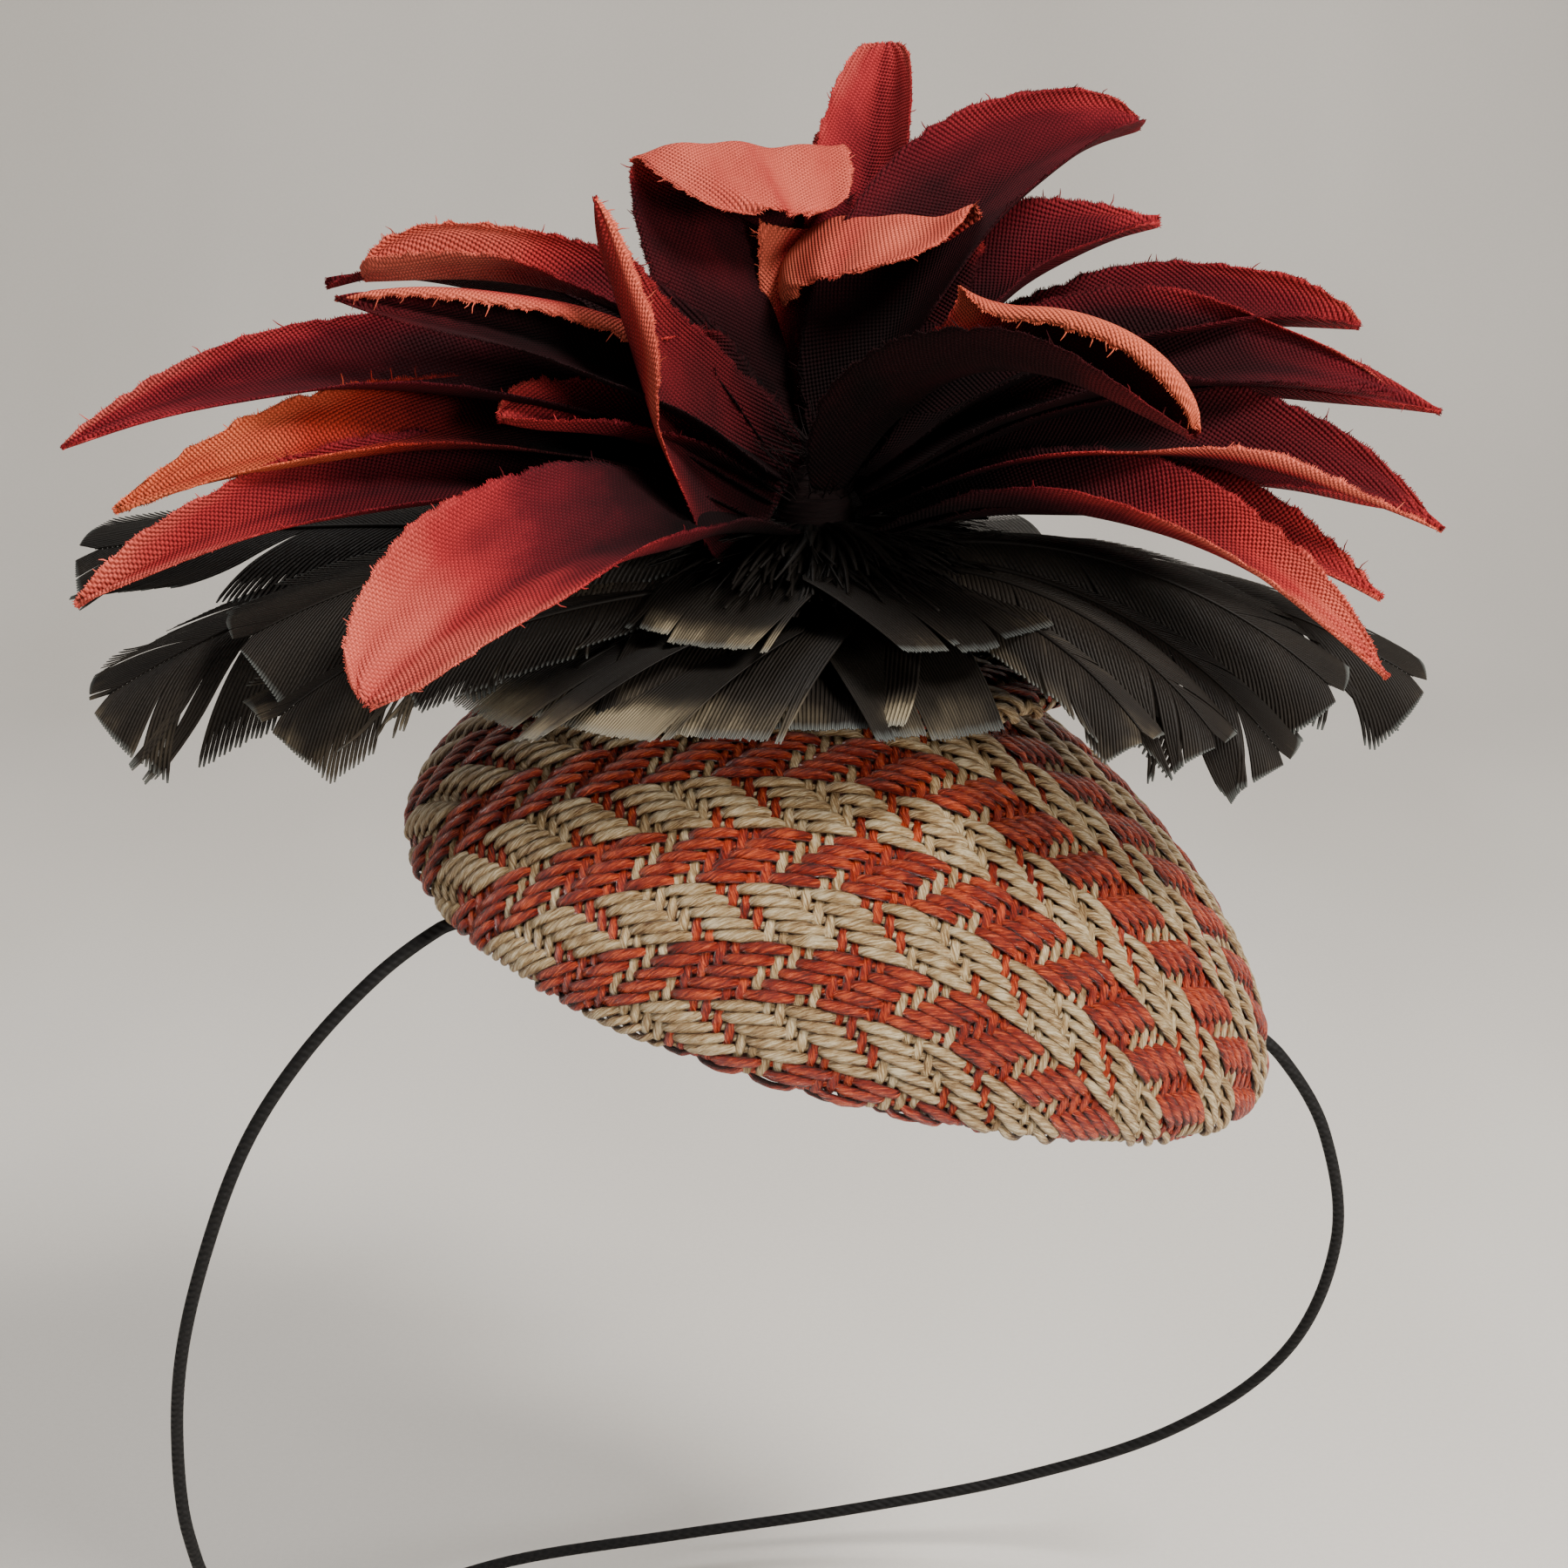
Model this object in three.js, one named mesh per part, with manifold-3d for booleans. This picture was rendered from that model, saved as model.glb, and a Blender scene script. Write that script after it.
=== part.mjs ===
// A percher fascinator: a woven teardrop base, a covered disc on its top, a layer of
// trimmed feathers, a large fabric flower and an elastic that holds it on the head.
// Millimetres. +X is the wearer-side long direction, +Y goes back, +Z is up as worn.
// The origin is the middle of the rim opening, where the base sits on the head.
import * as THREE from 'three';
import { mergeVertices } from 'three/addons/utils/BufferGeometryUtils.js';
import Module from 'manifold-3d';

const wasm = await Module();
wasm.setup();

// ---------------------------------------------------------------- driving dimensions

const GAP = 0.3; // clearance between pieces that touch
const deg = THREE.MathUtils.degToRad;

// The base as worn, and its dome: a superellipse plan that narrows towards the tip (+u),
// a superellipse side profile, and a rim that dips at both ends to follow the head.
const BASE_TILT = { pitch: deg(15), roll: deg(19), yaw: deg(-2) };
const HALF_LENGTH = 68;
const HALF_DEPTH = 48;
const DOME_HEIGHT = 40;
const TIP_TAPER = 0.1;
const RIM_DIP = 4;
const RIM_LIFT = 0.1; // share of the dip that the long sides rise by
const PLAN_POWER = 2.05;
const PROFILE_POWER = 1.75;
const TIP_PROFILE_POWER = 1.52; // the dome slopes more evenly down to its lower tip
const BASE_SIDES = 30;

// Depths of the base's layers below the outside of the cover.
const COVER_THICKNESS = 1.1;
const BUCKRAM = { outside: COVER_THICKNESS + GAP, inside: 2.2 };
const HEM = { outside: BUCKRAM.inside + GAP, inside: 3.4 };
const LINING = { outside: HEM.inside + GAP, inside: 4.2 };
const WIRE = { depth: 1.8, radius: 0.4, sides: 6 };

// Places along the dome's profile, from 0 at the top to 1 at the rim.
const PROFILE_STEPS = [0.12, 0.25, 0.4, 0.55, 0.7];
const HEM_TOP = 0.84;
const BUCKRAM_EDGE = 0.93;
const WIRE_LINE = 0.95;
const FOLD_INSIDE = 0.972;

// The covered disc that carries the trim, slightly dished and tilted with the base.
const DISC = {
  centre: new THREE.Vector3(2, -2, 43.4),
  pitch: deg(4),
  roll: deg(5),
  radius: 33,
  droop: 3,
  coverThickness: 0.8,
  coreRadius: 32,
  coreThickness: 1,
  hemRadius: 24,
  backingRadius: 27,
  backingThickness: 1,
};

// The flower and feathers share one upright axis.
const FLOWER = { x: -6, y: -6 };
const PAD = { radius: 8, thickness: 2.2, lift: 0.35 };
const HUB_PROFILE = [
  [0, 50.1], [7.3, 50.1], [7.3, 57], [6.9, 59], [5.8, 62], [4.8, 65], [3.9, 67.5], [2.3, 69.6], [1.2, 72.4], [0, 73],
];

const PETAL = { thickness: 0.8, stations: 8, across: 4, tipStop: 0.96 };
const FEATHER = { thickness: 0.8, stations: 7, across: 3, tipStop: 1, footRadius: 8.4, cup: 0.2 };

// Petals, lowest whorl last. Columns: azimuth and foot radius round the flower axis, foot height,
// length, width, pitch at the foot and at the tip, roll at the foot and at the tip, cup.
// Angles are in degrees; the cup is the half angle that the petal bends through across its width.
const PETALS = [
  ['petal_left_1', 185, 6, 64, 105, 22, 35, -25, -15, -40, 0.5],
  ['petal_left_2', 190, 7, 61, 95, 20, 30, -25, -15, -40, 0.5],
  ['petal_left_3', 195, 8, 58, 100, 20, 25, -30, -15, -40, 0.5],
  ['petal_left_4', 230, 8, 60, 82, 30, 15, -30, -10, -20, 0.5],
  ['petal_left_5', 190, 5, 68, 68, 26, 40, 5, -20, -60, 0.6],
  ['petal_left_6', 170, 5, 69.2, 70, 18, 55, -10, -10, -20, 0.6],
  ['petal_left_7', 160, 6, 66, 80, 18, 50, -10, 0, 0, 0.5],
  ['petal_left_8', 198, 6, 65.6, 42, 18, 28, 5, -10, -20, 0.5],
  ['petal_centre_1', 205, 7, 62, 54, 27, 35, 85, -80, -10, 0.5],
  ['petal_centre_2', 117.5, 7, 69, 65.5, 35, 62, 74, 0, 0, 0.05],
  ['petal_centre_3', 65, 5.5, 70.4, 50, 34, 62, 72, 0, 14, 0.05],
  ['petal_centre_4', 75, 5.2, 66, 72, 18, 60, 55, 0, 0, 0.5],
  ['petal_centre_5', 85, 6, 65.5, 65, 18, 60, 45, 0, 0, 0.5],
  ['petal_right_1', 35, 5, 69.2, 76, 30, 75, 5, 10, 20, 0.6],
  ['petal_right_2', 20, 6, 68.6, 60, 28, 60, 10, 10, 20, 0.6],
  ['petal_right_3', 10, 6, 67, 80, 24, 40, -10, 15, 30, 0.6],
  ['petal_right_4', 0, 6, 65.6, 80, 30, 35, -15, 20, 35, 0.6],
  ['petal_right_5', 5, 6.2, 64.2, 88, 24, 30, -15, 10, 30, 0.5],
  ['petal_right_6', 315, 5, 66, 70, 33, 55, -30, 10, 20, 0.8],
  ['petal_right_7', 350, 7, 62.2, 85, 22, 30, -30, 15, 40, 0.5],
  ['petal_right_8', 10, 8, 60.6, 80, 20, 15, -15, 10, 30, 0.5],
  ['petal_right_9', 335, 8, 59.2, 82, 18, 25, -45, 10, 30, 0.5],
  ['petal_right_10', 350, 8, 58.6, 75, 20, 20, -30, 10, 30, 0.5],
  ['petal_back_1', 75, 8, 60, 84, 30, 25, -15, 0, 0, 0.5],
  ['petal_back_2', 112, 8, 60, 84, 30, 22, -15, 0, 0, 0.5],
  ['petal_back_3', 140, 8, 60, 84, 30, 20, -20, 0, 0, 0.5],
  ['petal_back_4', 42, 8, 60, 84, 30, 20, -15, 0, 0, 0.5],
];

// Feathers, trimmed square. Columns: azimuth, foot height, length, width, pitch at the foot and
// at the cut end, roll at the foot and at the cut end.
const FEATHERS = [
  ['feather_left_1', 178, 54, 98, 24, 12, -10, -25, -25],
  ['feather_left_2', 190, 55, 97, 30, 12, -32, -10, -20],
  ['feather_left_3', 206, 54, 76, 26, 12, -34, -10, -20],
  ['feather_left_4', 216, 52.4, 60, 22, 6, -14, -10, -20],
  ['feather_left_5', 200, 56.6, 76, 26, 14, -25, -10, -20],
  ['feather_front_1', 217, 51, 48, 24, 0, -32, 0, 0],
  ['feather_front_2', 232, 50, 42, 24, -2, -30, 0, 0],
  ['feather_front_3', 247, 51.3, 37, 26, 0, -38, 0, 0],
  ['feather_front_4', 268, 50, 32, 26, -5, -36, 0, 0],
  ['feather_front_5', 293, 51.3, 35, 18, -4, -40, 0, 0],
  ['feather_front_6', 242, 56, 27, 20, 0, -30, 0, 0],
  ['feather_front_7', 303, 56, 32, 24, 0, -25, 0, 0],
  ['feather_right_1', 318, 53, 54, 16, 12, -44, 5, 5],
  ['feather_right_2', 327, 54.2, 61, 24, 14, -48, 5, 5],
  ['feather_right_3', 337, 55.2, 68, 24, 10, -50, 10, 15],
  ['feather_right_4', 346, 56.5, 71, 22, 14, -42, 10, 25],
  ['feather_right_5', 357, 53.6, 82, 24, 10, -32, 10, 25],
  ['feather_back_1', 120, 54, 76, 26, 10, -30, 0, 0],
  ['feather_back_2', 70, 54, 76, 26, 10, -30, 0, 0],
];

// The elastic leaves a knot inside the left rim, runs down and behind the head, and comes back to
// a knot inside the right rim at the back. The points are its centre line as worn.
const ELASTIC = { radius: 1, sides: 8, steps: 80, knotRadius: 2.2 };
const KNOT_LEFT = new THREE.Vector3(-50.5, -22.4, 12.2);
const KNOT_RIGHT = new THREE.Vector3(51.1, 18.3, -12.5);
const ELASTIC_ROUTE = [
  [-52, -22.4, 9.9], [-54.7, -22.4, 6.6], [-60, -23, 4.5], [-69, -25, -2], [-80, -25, -14],
  [-89, -23, -28], [-96, -20, -45], [-102, -15, -65], [-105, -9, -84], [-105, -5, -102],
  [-102, 4, -119], [-90, 24, -134], [-60, 53, -140], [-30, 66, -142], [2, 70, -139], [34, 66, -130],
  [60, 56, -115], [77, 44, -94], [83, 36, -70], [79, 30, -48], [70.5, 26, -33], [61.5, 23.6, -24.8],
  [54, 20.4, -18.8], [52, 19.2, -14.9],
];

// ---------------------------------------------------------------- materials

const finish = (color, roughness, metalness = 0) => new THREE.MeshStandardMaterial({ color, roughness, metalness });

const MATERIALS = {
  weave: finish(0xc9674a, 0.55),
  buckram: finish(0xd8d2c2, 0.85),
  lining: finish(0x1d1a1a, 0.7),
  wire: finish(0x8c8c8c, 0.4, 1),
  felt: finish(0x1a1818, 0.95),
  petal: finish(0xa8303a, 0.75),
  feather: finish(0x1c1917, 0.4),
  hub: finish(0x24120f, 0.85),
  elastic: finish(0x111111, 0.7),
};

// ---------------------------------------------------------------- solids

const object = new THREE.Group();

function add(parent, name, geometry, material) {
  const mesh = new THREE.Mesh(geometry, material);
  mesh.name = name;
  parent.add(mesh);
  return mesh;
}

function signedVolume(points, faces) {
  return faces.reduce((sum, [a, b, c]) => sum + points[a].dot(points[b].clone().cross(points[c])), 0);
}

function geometryOf(points, faces) {
  const outward = signedVolume(points, faces) > 0 ? faces : faces.map(([a, b, c]) => [a, c, b]);
  const geometry = new THREE.BufferGeometry();
  geometry.setAttribute('position', new THREE.Float32BufferAttribute(points.flatMap((p) => p.toArray()), 3));
  geometry.setIndex(outward.flat());
  return geometry;
}

// A closed skin over a stack of rings of equal length, closed by a point at each end.
function skin(start, rings, end) {
  const sides = rings[0].length;
  const points = [start, ...rings.flat(), end];
  const last = points.length - 1;
  const at = (ring, side) => 1 + ring * sides + (side % sides);
  const faces = [];
  for (let side = 0; side < sides; side += 1) {
    faces.push([0, at(0, side + 1), at(0, side)]);
    for (let ring = 0; ring + 1 < rings.length; ring += 1) {
      faces.push([at(ring, side), at(ring, side + 1), at(ring + 1, side + 1)]);
      faces.push([at(ring, side), at(ring + 1, side + 1), at(ring + 1, side)]);
    }
    faces.push([at(rings.length - 1, side), at(rings.length - 1, side + 1), last]);
  }
  return geometryOf(points, faces);
}

// A closed ring: the rings are joined last to first, so it has no ends.
function torusSkin(rings) {
  const count = rings.length;
  const sides = rings[0].length;
  const at = (ring, side) => (ring % count) * sides + (side % sides);
  const faces = [];
  for (let ring = 0; ring < count; ring += 1) {
    for (let side = 0; side < sides; side += 1) {
      faces.push([at(ring, side), at(ring, side + 1), at(ring + 1, side + 1)]);
      faces.push([at(ring, side), at(ring + 1, side + 1), at(ring + 1, side)]);
    }
  }
  return geometryOf(rings.flat(), faces);
}

// A turned solid standing on the Z axis, from [radius, height] pairs.
function turned(profile, segments) {
  const lathe = new THREE.LatheGeometry(profile.map(([r, z]) => new THREE.Vector2(r, z)), segments);
  lathe.rotateX(Math.PI / 2);
  lathe.deleteAttribute('normal');
  lathe.deleteAttribute('uv');
  const merged = mergeVertices(lathe, 1e-4);
  const position = merged.getAttribute('position');
  const points = Array.from({ length: position.count }, (_, i) => new THREE.Vector3().fromBufferAttribute(position, i));
  const index = Array.from(merged.getIndex().array);
  const faces = [];
  for (let i = 0; i < index.length; i += 3) {
    const [a, b, c] = index.slice(i, i + 3);
    if (a !== b && b !== c && c !== a) faces.push([a, b, c]);
  }
  return geometryOf(points, faces);
}

// ---------------------------------------------------------------- dome surface

function signedPower(value, power) {
  return Math.sign(value) * Math.abs(value) ** power;
}

function domeSurface(angle, place) {
  const u = HALF_LENGTH * signedPower(Math.cos(angle), 2 / PLAN_POWER);
  const taper = 1 - TIP_TAPER * (u / HALF_LENGTH);
  const v = HALF_DEPTH * signedPower(Math.sin(angle), 2 / PLAN_POWER) * taper;
  const power = PROFILE_POWER + (TIP_PROFILE_POWER - PROFILE_POWER) * Math.max(Math.cos(angle), 0) ** 2;
  const spread = Math.sin(place * Math.PI / 2) ** (2 / power);
  const rise = Math.max(Math.cos(place * Math.PI / 2), 0) ** (2 / power);
  const dip = RIM_DIP * spread * (RIM_LIFT * (v / HALF_DEPTH) ** 2 - (u / HALF_LENGTH) ** 2);
  return new THREE.Vector3(u * spread, v * spread, DOME_HEIGHT * rise + dip);
}

// A point of the dome, moved in from its outside by a depth.
function domePoint(angle, place, depth) {
  const step = 1e-3;
  const lower = Math.min(place + step, 1);
  const along = domeSurface(angle, lower).sub(domeSurface(angle, lower - 2 * step));
  const round = domeSurface(angle + step, place).sub(domeSurface(angle - step, place));
  const normal = along.cross(round).normalize();
  return domeSurface(angle, place).addScaledVector(normal, -depth);
}

function domeRing(place, depth) {
  return Array.from({ length: BASE_SIDES }, (_, i) => domePoint((2 * Math.PI * i) / BASE_SIDES, place, depth));
}

function domeTop(depth) {
  return new THREE.Vector3(0, 0, DOME_HEIGHT - depth);
}

// A shell of the dome between two depths, ending at an edge.
function domeShell(outside, inside, edge) {
  const places = [...PROFILE_STEPS, HEM_TOP, edge];
  const outer = places.map((place) => domeRing(place, outside));
  const inner = places.map((place) => domeRing(place, inside)).reverse();
  return skin(domeTop(outside), [...outer, ...inner], domeTop(inside));
}

// The cover goes over the dome, folds under the rim and runs up inside as a hem.
function wovenCover() {
  const down = [...PROFILE_STEPS, HEM_TOP, BUCKRAM_EDGE, 1];
  const rings = [
    ...down.map((place) => domeRing(place, 0)),
    ...[1, BUCKRAM_EDGE, HEM_TOP].map((place) => domeRing(place, HEM.inside)),
    ...[HEM_TOP, BUCKRAM_EDGE, FOLD_INSIDE].map((place) => domeRing(place, HEM.outside)),
    ...[FOLD_INSIDE, BUCKRAM_EDGE, HEM_TOP].map((place) => domeRing(place, COVER_THICKNESS)),
    ...[...PROFILE_STEPS].reverse().map((place) => domeRing(place, COVER_THICKNESS)),
  ];
  return skin(domeTop(0), rings, domeTop(COVER_THICKNESS));
}

function edgeWire() {
  const centres = domeRing(WIRE_LINE, WIRE.depth);
  const rings = centres.map((centre, i) => {
    const next = centres[(i + 1) % BASE_SIDES];
    const before = centres[(i + BASE_SIDES - 1) % BASE_SIDES];
    const forward = next.clone().sub(before).normalize();
    const side = new THREE.Vector3(0, 0, 1).cross(forward).normalize();
    const up = forward.clone().cross(side);
    return Array.from({ length: WIRE.sides }, (_, k) => {
      const turn = (2 * Math.PI * k) / WIRE.sides;
      return centre.clone()
        .addScaledVector(side, WIRE.radius * Math.cos(turn))
        .addScaledVector(up, WIRE.radius * Math.sin(turn));
    });
  });
  return torusSkin(rings);
}

const base = new THREE.Group();
base.rotation.set(BASE_TILT.pitch, BASE_TILT.roll, BASE_TILT.yaw, 'ZXY');
object.add(base);
add(base, 'woven_cover', wovenCover(), MATERIALS.weave);
add(base, 'buckram_shell', domeShell(BUCKRAM.outside, BUCKRAM.inside, BUCKRAM_EDGE), MATERIALS.buckram);
add(base, 'edge_wire', edgeWire(), MATERIALS.wire);
add(base, 'lining', domeShell(LINING.outside, LINING.inside, BUCKRAM_EDGE), MATERIALS.lining);

// ---------------------------------------------------------------- covered disc

const DISC_SEGMENTS = 24;
const dish = (r) => -DISC.droop * (r / DISC.radius) ** 2;

// A dished disc between two heights above the dish.
function dishedDisc(radius, bottom, top) {
  const half = radius / 2;
  return turned([
    [0, dish(0) + bottom], [half, dish(half) + bottom], [radius, dish(radius) + bottom],
    [radius, dish(radius) + top], [half, dish(half) + top], [0, dish(0) + top],
  ], DISC_SEGMENTS);
}

// Fabric over the top of the disc, round its edge and turned under, open in the middle below.
function discCover() {
  const t = DISC.coverThickness;
  const coreTop = GAP + DISC.coreThickness;
  const inTop = coreTop + GAP;
  const edge = DISC.coreRadius + 2 * GAP;
  const half = DISC.radius / 2;
  return turned([
    [0, inTop + t], [half, dish(half) + inTop + t], [edge, dish(edge) + inTop + t],
    [edge + t, dish(edge) + inTop / 2],
    [edge, dish(edge) - t], [DISC.hemRadius, dish(DISC.hemRadius) - t], [DISC.hemRadius, dish(DISC.hemRadius)],
    [edge, dish(edge)], [edge, dish(edge) + inTop],
    [half, dish(half) + inTop], [0, inTop],
  ], DISC_SEGMENTS);
}

const disc = new THREE.Group();
disc.position.copy(DISC.centre);
disc.rotation.set(DISC.pitch, DISC.roll, 0, 'ZXY');
object.add(disc);
add(disc, 'trim_disc_core', dishedDisc(DISC.coreRadius, GAP, GAP + DISC.coreThickness), MATERIALS.buckram);
add(disc, 'trim_disc_cover', discCover(), MATERIALS.weave);
const backingTop = -DISC.coverThickness - GAP;
add(disc, 'trim_disc_backing', dishedDisc(DISC.backingRadius, backingTop - DISC.backingThickness, backingTop), MATERIALS.felt);

// The feathers' felt pad lies on the disc under the flower.
const padBottom = 2 * GAP + DISC.coreThickness + DISC.coverThickness + PAD.lift;
const pad = add(disc, 'feather_pad', turned([
  [0, padBottom], [PAD.radius, padBottom], [PAD.radius, padBottom + PAD.thickness], [0, padBottom + PAD.thickness],
], DISC_SEGMENTS), MATERIALS.felt);
pad.position.set(FLOWER.x - DISC.centre.x, FLOWER.y - DISC.centre.y, 0);

// ---------------------------------------------------------------- flower and feathers

const hub = add(object, 'flower_hub', turned(HUB_PROFILE, 16), MATERIALS.hub);
hub.position.set(FLOWER.x, FLOWER.y, 0);

// How wide a petal or a feather is along its length, as a share of its full half width.
const PETAL_RISE = 0.8;
const PETAL_FALL = 0.6;
const PETAL_CLAW = 0.05;
const petalShape = (s) => (s + PETAL_CLAW) ** PETAL_RISE * (1 - s) ** PETAL_FALL;
const PETAL_WIDEST = petalShape(PETAL_RISE / (PETAL_RISE + PETAL_FALL));
const petalWidth = (s) => petalShape(s) / PETAL_WIDEST;

const FEATHER_QUILL = 0.06;
const FEATHER_OPEN = 0.3;
const FEATHER_NARROWING = 0.12;
const featherWidth = (s) => Math.min(Math.max(s / FEATHER_OPEN, FEATHER_QUILL), 1) ** 0.6 * (1 - FEATHER_NARROWING * s);

// A thin blade that springs from the flower axis: its midrib bends from one pitch to another,
// and it is rolled and cupped about the midrib. grow thickens it on every side.
function blade(row, style, width, grow) {
  const foot = new THREE.Vector3(
    FLOWER.x + row.footRadius * Math.cos(row.azimuth),
    FLOWER.y + row.footRadius * Math.sin(row.azimuth),
    row.height,
  );
  const direction = (s) => {
    const pitch = THREE.MathUtils.lerp(row.pitch[0], row.pitch[1], s);
    const level = Math.cos(pitch);
    return new THREE.Vector3(level * Math.cos(row.azimuth), level * Math.sin(row.azimuth), Math.sin(pitch));
  };
  const flat = new THREE.Vector3(-Math.sin(row.azimuth), Math.cos(row.azimuth), 0);
  const stations = Array.from({ length: style.stations }, (_, i) => (style.tipStop * i) / (style.stations - 1));
  const half = style.thickness / 2 + grow;
  const centre = foot.clone().addScaledVector(direction(0), -grow);
  const rings = stations.map((s, i) => {
    if (i > 0) {
      const middle = (s + stations[i - 1]) / 2;
      centre.addScaledVector(direction(middle), row.length * (s - stations[i - 1]));
    }
    if (i === 1) centre.addScaledVector(direction(s), grow);
    const along = direction(s);
    const roll = THREE.MathUtils.lerp(row.roll[0], row.roll[1], s);
    const across = flat.clone().multiplyScalar(Math.cos(roll));
    across.addScaledVector(along.clone().cross(flat), Math.sin(roll));
    const up = along.clone().cross(across);
    const reach = (row.width / 2) * width(s) + grow;
    const side = (x, lift) => {
      const bend = x * row.cup;
      return centre.clone()
        .addScaledVector(across, (reach * Math.sin(bend)) / row.cup - lift * Math.sin(bend))
        .addScaledVector(up, (reach * (1 - Math.cos(bend))) / row.cup + lift * Math.cos(bend));
    };
    const places = Array.from({ length: style.across }, (_, k) => -1 + (2 * k) / (style.across - 1));
    return [...places.map((x) => side(x, half)), ...places.reverse().map((x) => side(x, -half))];
  });
  const start = foot.clone().addScaledVector(direction(0), -grow);
  const tip = centre.clone().addScaledVector(direction(1), row.length * (1 - style.tipStop) + grow);
  return skin(start, rings, tip);
}

function solidOf(geometry) {
  const vertProperties = new Float32Array(geometry.getAttribute('position').array);
  const triVerts = new Uint32Array(geometry.getIndex().array);
  return new wasm.Manifold(new wasm.Mesh({ numProp: 3, vertProperties, triVerts }));
}

function geometryFrom(solid) {
  const mesh = solid.getMesh();
  const geometry = new THREE.BufferGeometry();
  geometry.setAttribute('position', new THREE.Float32BufferAttribute(mesh.vertProperties, 3));
  geometry.setIndex(Array.from(mesh.triVerts));
  return geometry;
}

// Where blades press on each other near the flower axis, the later one gives way to the earlier.
const placed = [];

function addBlade(name, row, style, width, material) {
  const own = blade(row, style, width, 0);
  own.computeBoundingBox();
  let solid = solidOf(own);
  let trimmed = false;
  for (const other of placed) {
    if (other.box.intersectsBox(own.boundingBox)) {
      const left = solid.subtract(other.solid);
      if (left.numTri() !== solid.numTri() || left.volume() < solid.volume()) trimmed = true;
      solid = left;
    }
  }
  if (trimmed) {
    const bits = solid.decompose().sort((a, b) => b.volume() - a.volume());
    [solid] = bits;
  }
  add(object, name, trimmed ? geometryFrom(solid) : own, material);
  const grown = blade(row, style, width, GAP);
  grown.computeBoundingBox();
  placed.push({ solid: solidOf(grown), box: grown.boundingBox });
}

for (const [name, azimuth, footRadius, height, length, width, foot, tip, rollFoot, rollTip, cup] of PETALS) {
  const row = {
    azimuth: deg(azimuth), footRadius, height, length, width, cup,
    pitch: [deg(foot), deg(tip)], roll: [deg(rollFoot), deg(rollTip)],
  };
  addBlade(name, row, PETAL, petalWidth, MATERIALS.petal);
}

for (const [name, azimuth, height, length, width, foot, tip, rollFoot, rollTip] of FEATHERS) {
  const row = {
    azimuth: deg(azimuth), footRadius: FEATHER.footRadius, height, length, width, cup: FEATHER.cup,
    pitch: [deg(foot), deg(tip)], roll: [deg(rollFoot), deg(rollTip)],
  };
  addBlade(name, row, FEATHER, featherWidth, MATERIALS.feather);
}

// ---------------------------------------------------------------- elastic

const route = new THREE.CatmullRomCurve3(ELASTIC_ROUTE.map(([x, y, z]) => new THREE.Vector3(x, y, z)));
const section = new THREE.Shape(Array.from({ length: ELASTIC.sides }, (_, k) => {
  const turn = (2 * Math.PI * k) / ELASTIC.sides;
  return new THREE.Vector2(ELASTIC.radius * Math.cos(turn), ELASTIC.radius * Math.sin(turn));
}));
const elastic = new THREE.ExtrudeGeometry(section, { steps: ELASTIC.steps, extrudePath: route, bevelEnabled: false });
add(object, 'elastic_loop', elastic, MATERIALS.elastic);
add(object, 'elastic_knot_left', new THREE.IcosahedronGeometry(ELASTIC.knotRadius, 1), MATERIALS.elastic)
  .position.copy(KNOT_LEFT);
add(object, 'elastic_knot_right', new THREE.IcosahedronGeometry(ELASTIC.knotRadius, 1), MATERIALS.elastic)
  .position.copy(KNOT_RIGHT);

export default object;
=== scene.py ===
"""Looks of the fascinator headpiece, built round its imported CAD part.

Shapes are worked out in millimetres in the part's frame and turned into metres when a mesh is
made: +X is the long direction towards the lower tip, +Y goes back and +Z is up as worn.
"""

import math

import bpy
import numpy as np
from mathutils import Euler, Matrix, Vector


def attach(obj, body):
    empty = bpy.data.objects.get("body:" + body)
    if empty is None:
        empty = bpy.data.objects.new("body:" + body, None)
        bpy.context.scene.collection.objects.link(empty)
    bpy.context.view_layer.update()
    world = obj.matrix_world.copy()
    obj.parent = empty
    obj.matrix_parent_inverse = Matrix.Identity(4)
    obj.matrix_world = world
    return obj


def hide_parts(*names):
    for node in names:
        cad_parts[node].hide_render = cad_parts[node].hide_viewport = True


MM = 0.001
UP = np.array([0.0, 0.0, 1.0])

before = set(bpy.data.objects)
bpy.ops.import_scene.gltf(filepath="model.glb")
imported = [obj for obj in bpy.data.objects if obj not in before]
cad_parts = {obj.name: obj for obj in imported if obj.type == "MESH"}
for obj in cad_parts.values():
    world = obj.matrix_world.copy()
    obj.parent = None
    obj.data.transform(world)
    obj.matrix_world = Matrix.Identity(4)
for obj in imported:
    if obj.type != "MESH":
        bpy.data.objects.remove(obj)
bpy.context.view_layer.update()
random = np.random.default_rng(7)

# ---------------------------------------------------------------- dimensions, in millimetres

# The base's dome, as in the part.
BASE_TILT = (math.radians(15), math.radians(19), math.radians(-2))
HALF_LENGTH = 68.0
HALF_DEPTH = 48.0
DOME_HEIGHT = 40.0
TIP_TAPER = 0.1
RIM_DIP = 4.0
RIM_LIFT = 0.1
PLAN_POWER = 2.05
PROFILE_POWER = 1.75
TIP_PROFILE_POWER = 1.52  # the dome slopes more evenly down to its lower tip
FOLD_RADIUS = 1.5
RIM_PACE = 50.0  # length along the cloth past the rim for one unit of place
HEM_PLACE = 1.13  # where the turned-in hem ends, with the top at 0 and the rim at 1
HEM_LEAN = 0.12  # how far the hem leans inward for each millimetre that it goes up

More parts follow.
